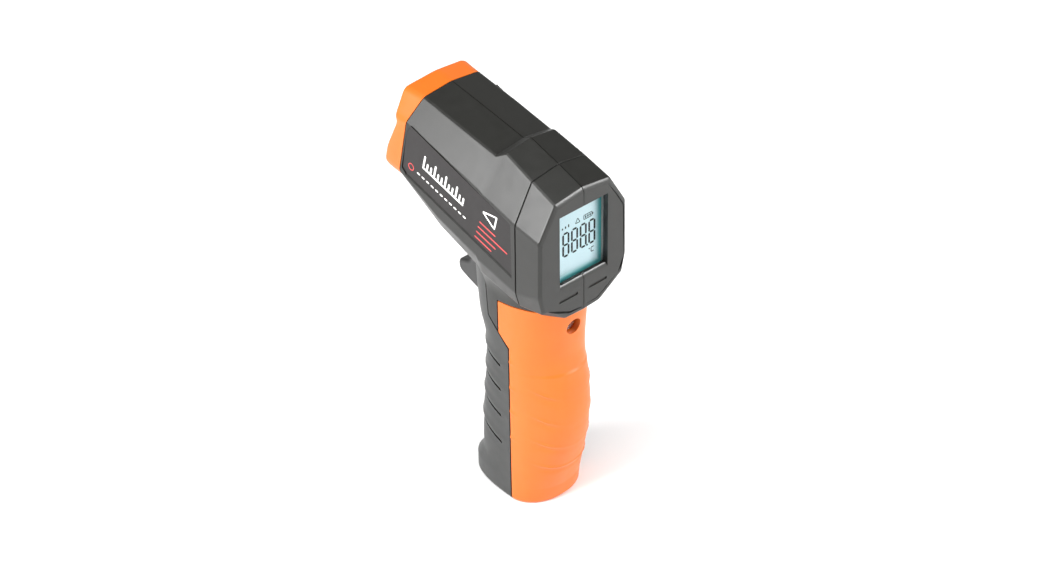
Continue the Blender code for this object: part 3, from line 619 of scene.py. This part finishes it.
# Sections from the back to the nose: y at the ridge, lean, height of the ridge, right corners (x, z).
HEAD = (
    (-30.0, 0.00, 147.0, ((12.5, 145.4), (20.1, 133.2), (20.4, 111.5), (18.6, 104.5), (7.8, 97.0))),
    (-29.0, 0.00, 148.9, ((13.4, 147.2), (21.2, 134.1), (21.5, 110.6), (19.7, 103.0), (8.5, 95.8))),
    (-28.5, 0.00, 149.3, ((13.4, 147.5), (21.3, 134.3), (21.5, 110.3), (19.8, 102.7), (8.6, 95.7))),
    (-17.35, 0.00, 153.0, ((12.9, 151.1), (21.3, 136.2), (21.5, 106.9), (19.8, 100.6), (9.0, 96.1))),
    (-17.22, 0.00, 152.5, ((12.6, 150.7), (20.8, 136.1), (21.0, 107.0), (19.4, 100.9), (8.8, 96.6))),
    (-16.78, 0.00, 152.6, ((12.6, 150.8), (20.8, 136.1), (21.0, 107.0), (19.4, 100.9), (8.8, 96.6))),
    (-16.65, 0.00, 153.2, ((12.9, 151.3), (21.3, 136.3), (21.5, 107.0), (19.8, 100.7), (9.0, 96.2))),
    (-2.7, 0.10, 157.3, ((11.8, 155.55), (21.2, 140.4), (21.5, 111.1), (19.6, 104.3), (9.0, 98.6))),
    (-2.3, 0.12, 157.3, ((11.7, 155.6), (21.2, 140.5), (21.5, 111.2), (19.6, 104.4), (9.0, 98.7))),
    (1.4, 0.08, 155.4, ((13.2, 153.6), (21.1, 141.8), (21.5, 112.8), (19.5, 106.3), (9.2, 101.1))),
    (1.8, 0.08, 155.45, ((13.2, 153.65), (21.1, 141.9), (21.5, 112.9), (19.5, 106.4), (9.2, 101.2))),
    (20.0, 0.14, 158.7, ((13.3, 157.0), (20.9, 146.6), (21.5, 119.0), (19.2, 113.4), (9.6, 110.0))),
    (40.2, 0.19, 162.0, ((13.1, 160.4), (20.7, 152.1), (21.5, 129.2), (18.6, 125.2), (10.0, 122.6))),
)
INSIDE = (3, 8, 10, 11)                 # the sections that the space inside follows
WALL = 2.0
EDGE_ROUND = 0.8


def head_ring(section, inset=0.0, shift=0.0, corner=EDGE_ROUND):
    """Outline of a head section, moved in by inset and forward by shift."""
    y_top, lean, ridge, corners = section
    right = [(0.0, ridge), *corners, (0.0, corners[-1][1] - 0.5)]
    outline = right + [(-x, z) for x, z in reversed(corners)]
    if inset:
        outline = offset_outline(outline, inset)
    ring = [(x, y_top + shift + lean * (ridge - z), z) for x, z in outline]
    return rounded(ring, corner) if corner else ring


# Outlines in (y, z) that share the lower part out between the neck, the rear grip and the door.
SPLIT_Y = -6.2
SEAM = 0.3
GRIP_TOP = ((-40.0, 96.2), (-24.0, 95.0), (-12.4, 94.0), (-0.7, 92.0))
WEDGE_TIP = (-0.5, 78.3)
DOOR_BACK = ((5.6, 82.6), (6.6, 95.4), (8.6, 106.0))
FAR = 60.0
SIDE = 30.0
GRIP_REGION = (
    (-FAR, -5.0), (SPLIT_Y - SEAM, -5.0), (SPLIT_Y - SEAM, 73.2),
    (WEDGE_TIP[0] - SEAM, WEDGE_TIP[1] - 0.4),
    GRIP_TOP[3], GRIP_TOP[2], GRIP_TOP[1], (-FAR, GRIP_TOP[0][1]),
)
DOOR_REGION = (
    (SPLIT_Y + SEAM, -5.0), (SPLIT_Y + SEAM, 72.6), (WEDGE_TIP[0] + 0.2, WEDGE_TIP[1] - 0.8),
    *DOOR_BACK, (FAR, DOOR_BACK[-1][1]), (FAR, -5.0),
)
NECK_REGION = (
    (-FAR, GRIP_TOP[0][1] + 0.5), (GRIP_TOP[1][0], GRIP_TOP[1][1] + 0.5),
    (GRIP_TOP[2][0], GRIP_TOP[2][1] + 0.5), (WEDGE_TIP[0] + 0.3, GRIP_TOP[3][1] + 0.4),
    (WEDGE_TIP[0] + 0.3, WEDGE_TIP[1] + 0.5), (DOOR_BACK[0][0] - 0.5, DOOR_BACK[0][1] + 0.3),
    (DOOR_BACK[1][0] - 0.5, DOOR_BACK[1][1]), (DOOR_BACK[2][0] - 0.4, DOOR_BACK[2][1] + 0.5),
    (FAR, DOOR_BACK[2][1] + 0.5), (FAR, 125.0), (-FAR, 125.0),
)
DOOR_CLEARANCE = ((3.0, 60.0), (3.0, 90.0), (7.6, 106.8), (FAR, 106.8), (FAR, 60.0))
CORE_REGION = (
    (-FAR, 2.3), (SPLIT_Y - 0.8, 2.3), (SPLIT_Y - 0.8, 73.8),
    (WEDGE_TIP[0] - 0.2, WEDGE_TIP[1] + 0.7), (4.0, 82.0), (4.0, 102.0), (-FAR, 102.0),
)
# Label outline in (y, z); its lower edge runs from the last point to the first.
LABEL = ((-14.6, 113.4), (-14.2, 135.4), (39.5, 151.9), (41.8, 148.4), (45.0, 131.6), (43.0, 129.8))
LABEL_GAP = 0.3                         # between the label's edge and the wall of its pocket
POCKET_FLOOR_X = 20.65
POCKET_MOUTH_X = 24.65                  # well outside the housing
POCKET_SLOPE = 2.8                      # the lower wall falls this much from the floor to the mouth
GRIP_SCREW = (0.0, 0.0, 85.5)
CLAMP_SCREWS = ((4.0, 147.0), (-14.4, 104.8), (36.8, 123.8))    # (y, z) of those in the head
POST, SEAT = 3.6, 2.7                   # radius of their posts and of the wells for their heads
HALF_GAP = 0.13                         # each half ends this far from the middle plane
LCD_MID_Z = 126.35
OPENING = (11.75, 15.1)                 # half width and half height of the display opening
SILL_TALL = 2.9                         # how far the sill reaches down below the opening


def neck_ring(z):
    """Grip outline that widens into the head."""
    return grip_ring(z, flare=4.2 * step_between(z, 93.0, 111.0) ** 1.5)


def head_solid():
    """Outside of the head with the neck flowing down into the grip."""
    head = loft("head", [head_ring(section) for section in HEAD])
    cut(head, prism("clearance", DOOR_CLEARANCE, SIDE))
    neck = loft("neck", [neck_ring(70.0 + 1.5 * i) for i in range(29)])
    keep(neck, prism("neck_region", NECK_REGION, SIDE))
    core = grip_loft("core", 2.3, 112.7, 2.3, 4.0)
    keep(core, prism("core_region", CORE_REGION, SIDE))
    add(head, neck, core)
    inner = [head_ring(HEAD[0], WALL, WALL + 0.4, 0)]
    inner += [head_ring(HEAD[i], WALL, 0, 0) for i in INSIDE]
    inner.append(head_ring(HEAD[-1], WALL, 3.0, 0))
    cut(
        head, loft("head_space", inner, flat=True), grip_loft("core_space", 4.1, 110.9, 4.1, 4.0),
        box("trigger_slot", (-6.0, 8.6, 74.0), (6.0, 26.4, 115.0)),
    )
    return head


def groove_path(points, width):
    """Outline of a narrow strip along a path in (x, z), pointed at both ends."""
    left, right = [], []
    for i, point in enumerate(points):
        here = Vector(point)
        ahead = Vector(points[min(i + 1, len(points) - 1)]) - Vector(points[max(i - 1, 0)])
        normal = Vector((-ahead.y, ahead.x)).normalized()
        half = width / 2 * (0.25 if i in (0, len(points) - 1) else 1.0)
        left.append(here + normal * half)
        right.append(here - normal * half)
    return [tuple(p) for p in left + right[::-1]]


def display_opening():
    """Straight recess with a sloping sill along its lower edge."""
    across, up = OPENING
    low = LCD_MID_Z - up
    hole = box("opening", (-across, REAR_Y - 2, low), (across, REAR_Y + 6, LCD_MID_Z + up))
    outer, inner = REAR_Y - 1.2, REAR_Y + 1.0
    slope = ((outer, low - SILL_TALL), (outer, low + 1), (inner, low + 1), (inner, low))
    return hole, prism("sill", slope, across)


# Decorative slots just inside the rim of the rear face: path in (x, z), width and depth.
FACE_SLOTS = {
    "slot_low": (((-17.4, 103.4), (-14.0, 101.6), (-7.0, 98.3), (-1.0, 97.7)), 0.9, 0.9),
    "slot_right": (((19.6, 110.0), (19.2, 108.6), (18.3, 106.4), (17.2, 104.6)), 0.9, 0.9),
    "line_right": (((12.2, 145.0), (15.8, 139.4), (19.4, 133.2), (19.7, 122.0), (19.7, 111.4)), 0.45, 0.55),
    "line_low": (((1.4, 98.0), (6.6, 98.2), (11.0, 100.8), (15.6, 103.8)), 0.35, 0.45),
}
BAR_LONG, BAR_LOW, BAR_HIGH, BAR_DEEP = 9.0, 104.3, 105.5, 0.45


def rear_face_cutters():
    """The decorative slots, and two short bars in place of lettering."""
    made = []
    for name, (path, width, depth) in FACE_SLOTS.items():
        made.append(face_prism(name, groove_path(path, width), REAR_Y - 1, REAR_Y + depth))
    for x in (-12.0, 2.4):
        made.append(box("bar", (x, REAR_Y - 1, BAR_LOW), (x + BAR_LONG, REAR_Y + BAR_DEEP, BAR_HIGH)))
    return made


def label_pocket(side):
    """Cutter for the label's pocket, whose lower wall slopes outwards."""
    floor = [tuple(point) for point in offset_outline(LABEL, -LABEL_GAP)]
    lower_edge = (0, len(floor) - 1)
    mouth = [(y, z - POCKET_SLOPE if i in lower_edge else z) for i, (y, z) in enumerate(floor)]
    ends = ((POCKET_FLOOR_X, floor), (POCKET_MOUTH_X, mouth))
    return loft("pocket", [[(side * x, y, z) for y, z in outline] for x, outline in ends], flat=True)


def head_half(side):
    """One half of the housing; the right half has the posts and seats of the clamping screws."""
    shell = head_solid()
    cut(shell, *display_opening(), *rear_face_cutters())
    cut(shell, rod("cup_relief", "Y", GRIP_SCREW, 5.0, -34, -17.7))
    low, high = (HALF_GAP, SIDE) if side > 0 else (-SIDE, -HALF_GAP)
    keep(shell, box("half", (low, -70, -10), (high, 90, 190)))
    cut(shell, label_pocket(side))
    if side > 0:
        for y, z in CLAMP_SCREWS:
            post = rod("post", "X", (0, y, z), POST, 6.0, 20.0)
            skin = [head_ring(section, 0.9, 0, 0) for section in HEAD[::2]]
            keep(post, loft("inside", skin, flat=True))
            add(shell, post)
            cut(shell, rod("seat", "X", (0, y, z), SEAT, 7.0, 30.0))
    return shell


for side, name in ((-1, "left"), (1, "right")):
    finish_piece(
        head_half(side), LOOKS["housing"], "housing", (f"{name}_housing",), bevel=0.22, angle=38
    ).name = f"{name}_housing_moulding"

# ---------------------------------------------------------------------------
# Nose cap
# ---------------------------------------------------------------------------

NOSE_BACK = (
    (0.0, 40.6, 162.0), (13.1, 40.9, 160.4), (20.7, 42.5, 152.1), (20.9, 42.8, 150.0),
    (21.3, 45.4, 136.8), (21.5, 46.9, 129.2), (18.6, 47.7, 125.2), (10.0, 48.2, 122.6),
    (0.0, 48.3, 122.2),
)
NOSE_FRONT = (
    (0.0, 50.0, 162.7), (14.4, 50.8, 161.0), (20.4, 49.6, 151.8), (20.6, 48.5, 149.4),
    (21.0, 54.4, 136.6), (21.1, 55.9, 129.7), (18.2, 55.9, 125.6), (9.9, 55.7, 123.0),
    (0.0, 55.7, 122.6),
)
LEDGE_Y = 47.0                          # where the inside of the rim ends, at the lens's height


def full_ring(points, inset=0.0, push=0.0):
    """Both sides of a ring given for the right, moved in by inset and forward by push."""
    full = list(points) + [(-x, y, z) for x, y, z in reversed(points[1:-1])]
    flat = [(x, z) for x, y, z in full]
    if inset:
        flat = offset_outline(flat, inset)
    return [(x, old[1] + push, z) for (x, z), old in zip(flat, full)]


back, front = full_ring(NOSE_BACK), full_ring(NOSE_FRONT)
rim = full_ring(NOSE_FRONT, 3.2, -0.4)
nose_rings = [
    full_ring(NOSE_BACK, 0.35),
    back,
    [Vector(a).lerp(Vector(b), 0.5) for a, b in zip(back, front)],
    full_ring(NOSE_FRONT, 0.05, -1.2),
    full_ring(NOSE_FRONT, 0.28, -0.4),
    full_ring(NOSE_FRONT, 0.75),
    full_ring(NOSE_FRONT, 2.5, -0.1),
    rim,
    [(x, LEDGE_Y + math.tan(PITCH) * (LENS_CENTRE.z - z), z) for x, y, z in rim],
    full_ring(NOSE_BACK, WALL),
]
nose = loft("nose_cap_moulding", [rounded(ring, 2.0) for ring in nose_rings], closed_ring=True)
finish_piece(nose, LOOKS["orange"], "housing", ("nose_cap",), angle=50)

# ---------------------------------------------------------------------------
# Rear grip and battery door
# ---------------------------------------------------------------------------

HINGE = (0.0, 12.0, 3.6)
HY, HZ = HINGE[1:]
EYE, PIN_BORE = 2.6, 1.4                # radius round the hinge pin and of its hole
LUG_IN, LUG_OUT = 7.4, 9.8              # |x| of the two faces of each lug of the rear grip
KNUCKLE = 6.9                           # half width of the door's knuckle between the lugs

rear = grip_loft("rear_grip_moulding", 0.0, 112.0, 0.0, 0.5, rear_relief, 128)
keep(rear, prism("region", GRIP_REGION, SIDE))
cut(rear, grip_loft("space", 2.0, 112.7, 2.0, 3.0))
additions = [box("floor", (-12.0, -8.0, 0.0), (12.0, HY - 3.4, 2.0))]
for low, high in ((-LUG_OUT, -LUG_IN), (LUG_IN, LUG_OUT)):
    additions.append(box("lug", (low, HY - 6.0, 0.1), (high, HY, HZ + EYE)))
    additions.append(rod("eye", "X", HINGE, EYE, low, high))
add(rear, *additions)
cut(rear, rod("lug_bore", "X", HINGE, PIN_BORE, -20, 20))
add(rear, rod("cup", "Y", GRIP_SCREW, 4.7, -23.4, -18.0))
cut(rear, rod("hole", "Y", GRIP_SCREW, 1.4, -40, -15), rod("seat", "Y", GRIP_SCREW, 3.4, -40, -19.8))
finish_piece(rear, LOOKS["orange"], "housing", ("rear_grip",), bevel=0.3, angle=48)

door = grip_loft("battery_door_moulding", 0.0, 112.0, 0.0, 0.75, door_relief, 128)
keep(door, prism("region", DOOR_REGION, SIDE))
cut(door, *groove_cutters())
cut(
    door,
    grip_loft("space", 2.0, 112.7, 2.0, 3.0),
    box("slot", (-6.6, -10, 77.2), (6.6, 40, 125)),
    box("floor_cut", (-12.4, -12, -3), (12.4, HY + 1.6, 3.0)),
    box("lug_cut", (-10.3, HY - 4, -3), (10.3, HY + 3.6, 3.0)),
)
add(
    door,
    box("web", (-KNUCKLE, HY + 1.0, 0.2), (KNUCKLE, 20.8, HZ + 2.2)),
    rod("knuckle", "X", HINGE, EYE, -KNUCKLE, KNUCKLE),
)
cut(door, rod("bore", "X", HINGE, PIN_BORE, -7.6, 7.6))
finish_piece(door, LOOKS["grip_black"], "battery_door", ("battery_door",), bevel=0.3, angle=50)

# ---------------------------------------------------------------------------
# Trigger
# ---------------------------------------------------------------------------

TRIGGER_SHAPE = (
    (10.6, 116.0), (11.4, 119.6), (14.0, 121.9), (17.4, 122.0), (20.2, 120.0), (21.2, 116.6),
    (21.2, 110.0), (21.6, 104.0), (22.6, 98.4), (24.6, 93.8), (27.6, 90.6), (31.0, 89.4),
    (33.4, 88.4), (33.9, 86.0), (32.4, 83.4), (26.0, 80.8), (21.0, 79.4), (14.0, 79.2),
    (10.6, 80.4), (10.1, 84.0), (10.1, 92.0), (10.1, 100.0), (10.1, 108.0),
)
TRIGGER_HALF = 5.5
TRIGGER_HINGE = (0.0, 16.0, 117.5)

outline = [tuple(point) for point in smooth_path(TRIGGER_SHAPE)]
trigger = prism("trigger_moulding", outline, TRIGGER_HALF)
cut(trigger, rod("bore", "X", TRIGGER_HINGE, 1.5, -10, 10))
finish_piece(
    trigger, LOOKS["trigger_black"], "trigger", ("trigger",), bevel=1.7, angle=60, segments=4
)

# ---------------------------------------------------------------------------
# Display segments and marks, on the front of the liquid-crystal panel
# ---------------------------------------------------------------------------

LCD_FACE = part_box("lcd_panel")[0].y / MM        # the side of the panel that faces the viewer


def flat_shapes(name, shapes, depth, place):
    """Thin raised ink: each shape is an outline in two coordinates that place() puts in space."""
    mesh = bmesh.new()
    for shape in shapes:
        loops = []
        for lift in (0.0, depth):
            loops.append([mesh.verts.new(Vector(place(a, b, lift)) * MM) for a, b in shape])
        mesh.faces.new(loops[0])
        mesh.faces.new(loops[1])
        for i in range(len(shape)):
            j = (i + 1) % len(shape)
            mesh.faces.new((loops[0][i], loops[0][j], loops[1][j], loops[1][i]))
    return object_from(mesh, name)


def bar(a, b, width):
    """Six-cornered segment from a to b."""
    start, end = Vector(a), Vector(b)
    way = (end - start).normalized()
    side = Vector((-way.y, way.x)) * width / 2
    tip = way * width / 2
    corners = (start, start + tip + side, end - tip + side, end, end - tip - side, start + tip - side)
    return [tuple(point) for point in corners]


def digit(x, z, width, height, stroke):
    """All seven segments of a digit."""
    gap = stroke * 0.22
    mid = z + height / 2
    right, top = x + width, z + height
    rows = [bar((x + gap, v), (right - gap, v), stroke) for v in (z, mid, top)]
    halves = ((z, mid), (mid, top))
    columns = [bar((u, low + gap), (u, high - gap), stroke) for u in (x, right) for low, high in halves]
    return rows + columns


def disc(x, z, radius, sides=20):
    angles = [2 * math.pi * i / sides for i in range(sides)]
    return [(x + radius * math.cos(angle), z + radius * math.sin(angle)) for angle in angles]


DIGITS = 4
DIGIT_LEFT, DIGIT_FOOT, DIGIT_STEP = -6.5, 120.3, 4.25
DIGIT_WIDE, DIGIT_TALL, STROKE = 2.6, 9.8, 0.84
# Start, end and width of the strokes of the small signs.
UNIT_SIGN = (
    ((7.2, 116.3), (7.2, 118.2), 0.34), ((7.2, 118.2), (8.6, 118.2), 0.34),
    ((7.2, 116.3), (8.6, 116.3), 0.34),
)
WARNING_SIGN = (
    ((-0.5, 132.0), (1.7, 132.0), 0.3), ((-0.5, 132.0), (0.6, 134.0), 0.3),
    ((0.6, 134.0), (1.7, 132.0), 0.3),
)
BATTERY_SIGN = (
    ((3.6, 131.9), (7.6, 131.9), 0.3), ((3.6, 133.7), (7.6, 133.7), 0.3),
    ((3.6, 131.9), (3.6, 133.7), 0.3), ((7.6, 131.9), (7.6, 133.7), 0.3),
    ((8.0, 132.3), (8.0, 133.3), 0.5),
)

marks = []
for k in range(DIGITS):
    marks += digit(DIGIT_LEFT + DIGIT_STEP * k, DIGIT_FOOT, DIGIT_WIDE, DIGIT_TALL, STROKE)
marks.append(disc(5.2, 120.2, 0.42))
marks += [bar(*stroke) for stroke in UNIT_SIGN]
marks.append(disc(6.3, 118.0, 0.3, 12))
marks += [bar((-6.8 + 1.5 * i, 132.0), (-6.8 + 1.5 * i, 133.0 + 0.25 * i), 0.55) for i in range(3)]
marks += [bar(*stroke) for stroke in WARNING_SIGN + BATTERY_SIGN]
marks += [bar((4.5 + 1.1 * i, 132.2), (4.5 + 1.1 * i, 133.4), 0.7) for i in range(3)]
segments = flat_shapes("display_segments", marks, 0.05, lambda a, b, lift: (a, LCD_FACE - 0.02 - lift, b))
finish_piece(segments, INK, "housing")

# ---------------------------------------------------------------------------
# Plain printed graphics on the side labels
# ---------------------------------------------------------------------------


PRINT_START = (41.0, 131.5)             # (y, z) at the front of the label, where the print starts
TICKS, TICK_STEP, LONG_TICK, SHORT_TICK = 12, 2.02, 5.6, 3.2
CONE = (
    ((38.6, 12.6), (45.4, 15.4), 0.7), ((38.6, 12.6), (45.4, 9.8), 0.7),
    ((45.6, 9.4), (45.6, 15.8), 0.7),
)
RING_PARTS, RING_OUTER, RING_INNER = 16, 1.6, 1.2


def on_label(side):
    """Places along the barrel, rearwards from the label's front, and up across it."""
    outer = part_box("left_label")[0].x / MM if side < 0 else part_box("right_label")[1].x / MM

    def place(along, up, lift):
        y = PRINT_START[0] - along * math.cos(PITCH) - up * math.sin(PITCH)
        z = PRINT_START[1] - along * math.sin(PITCH) + up * math.cos(PITCH)
        return (outer + side * (0.01 + lift), y, z)

    return place


def scale_marks():
    """White measuring scale with long and short ticks, a dashed line under it and a cone."""
    made = [bar((5.6, 7.2), (29.0, 7.2), 0.9)]
    for i in range(TICKS):
        height = LONG_TICK if i % 3 == 0 else SHORT_TICK
        made.append(bar((6.2 + TICK_STEP * i, 7.4), (6.2 + TICK_STEP * i, 7.6 + height), 0.9))
    made += [bar((3.6 + 2.6 * i, 2.6), (5.4 + 2.6 * i, 2.6), 0.7) for i in range(11)]
    return made + [bar(*stroke) for stroke in CONE]


def red_marks():
    """Red lines of uneven length below the cone, and a small ring at the front."""
    made = []
    for i, length in enumerate((9.0, 16.5, 11.0, 9.6)):
        along, up = 38.0 - 0.3 * i, 7.0 - 2.7 * i
        made.append(bar((along, up), (along + length, up), 0.62))
    for k in range(RING_PARTS):
        a0, a1 = 2 * math.pi * k / RING_PARTS, 2 * math.pi * (k + 1) / RING_PARTS
        corners = ((RING_OUTER, a0), (RING_OUTER, a1), (RING_INNER, a1), (RING_INNER, a0))
        made.append([(0.2 + r * math.cos(a), 2.6 + r * math.sin(a)) for r, a in corners])
    return made


for side, name in ((-1, "left"), (1, "right")):
    for shapes, ink, colour in ((scale_marks(), WHITE_INK, "white"), (red_marks(), RED_INK, "red")):
        printed = flat_shapes(f"{name}_label_{colour}_print", shapes, 0.02, on_label(side))
        finish_piece(printed, ink, "housing")

# ---------------------------------------------------------------------------
# Stage, lights and camera
# ---------------------------------------------------------------------------

mesh = bmesh.new()
bmesh.ops.create_grid(mesh, x_segments=8, y_segments=8, size=6.0)
floor = object_from(mesh, "floor", FLOOR)

world = bpy.data.worlds.new("studio")
bpy.context.scene.world = world
world.use_nodes = True
tree = world.node_tree
sky = tree.nodes.new("ShaderNodeTexCoord")
split = tree.nodes.new("ShaderNodeSeparateXYZ")
tree.links.new(sky.outputs["Generated"], split.inputs["Vector"])
tint = ramp(tree, split.outputs["Z"], (
    (0.0, (1.0, 1.0, 1.0)), (0.22, (0.8, 0.8, 0.8)), (0.6, (0.12, 0.12, 0.12))))
tree.links.new(tint, tree.nodes["Background"].inputs["Color"])
tree.nodes["Background"].inputs["Strength"].default_value = 0.74

TARGET = Vector((0.0, 0.0, 0.09))


def softbox(name, place, size, power_w):
    """White rectangular light, aimed at the middle of the object."""
    light = bpy.data.lights.new(name, "AREA")
    light.shape = "RECTANGLE"
    light.size, light.size_y = size
    light.energy = power_w
    lamp = bpy.data.objects.new(name, light)
    lamp.location = place
    lamp.rotation_euler = (TARGET - Vector(place)).to_track_quat("-Z", "Y").to_euler()
    bpy.context.scene.collection.objects.link(lamp)


# Place and size in metres, power in watts.
softbox("overhead", (-0.3, -0.3, 1.7), (1.4, 1.4), 27.0)
softbox("left", (-1.35, 0.30, 0.75), (0.8, 0.9), 40.0)
softbox("right_behind", (0.72, -1.08, 0.56), (0.5, 0.35), 22.0)

camera_data = bpy.data.cameras.new("camera")
camera_data.lens = 90.26
camera_data.sensor_width = 36.0
camera_data.clip_start = 0.01
camera = bpy.data.objects.new("camera", camera_data)
bpy.context.scene.collection.objects.link(camera)
CAMERA_PLACE = (-0.5220, -0.5836, 0.6573)
azimuth, elevation, roll = (math.radians(degrees) for degrees in (41.54, 35.79, -0.97))
forward = Vector((
    math.sin(azimuth) * math.cos(elevation), math.cos(azimuth) * math.cos(elevation), -math.sin(elevation)))
flat_right = Vector((math.cos(azimuth), -math.sin(azimuth), 0.0))
flat_up = flat_right.cross(forward)
right = flat_right * math.cos(roll) + flat_up * math.sin(roll)
up = flat_up * math.cos(roll) - flat_right * math.sin(roll)
turn = Matrix((right, up, -forward)).transposed().to_4x4()
camera.matrix_world = Matrix.Translation(CAMERA_PLACE) @ turn
bpy.context.scene.camera = camera
bpy.context.scene.view_settings.view_transform = "Standard"
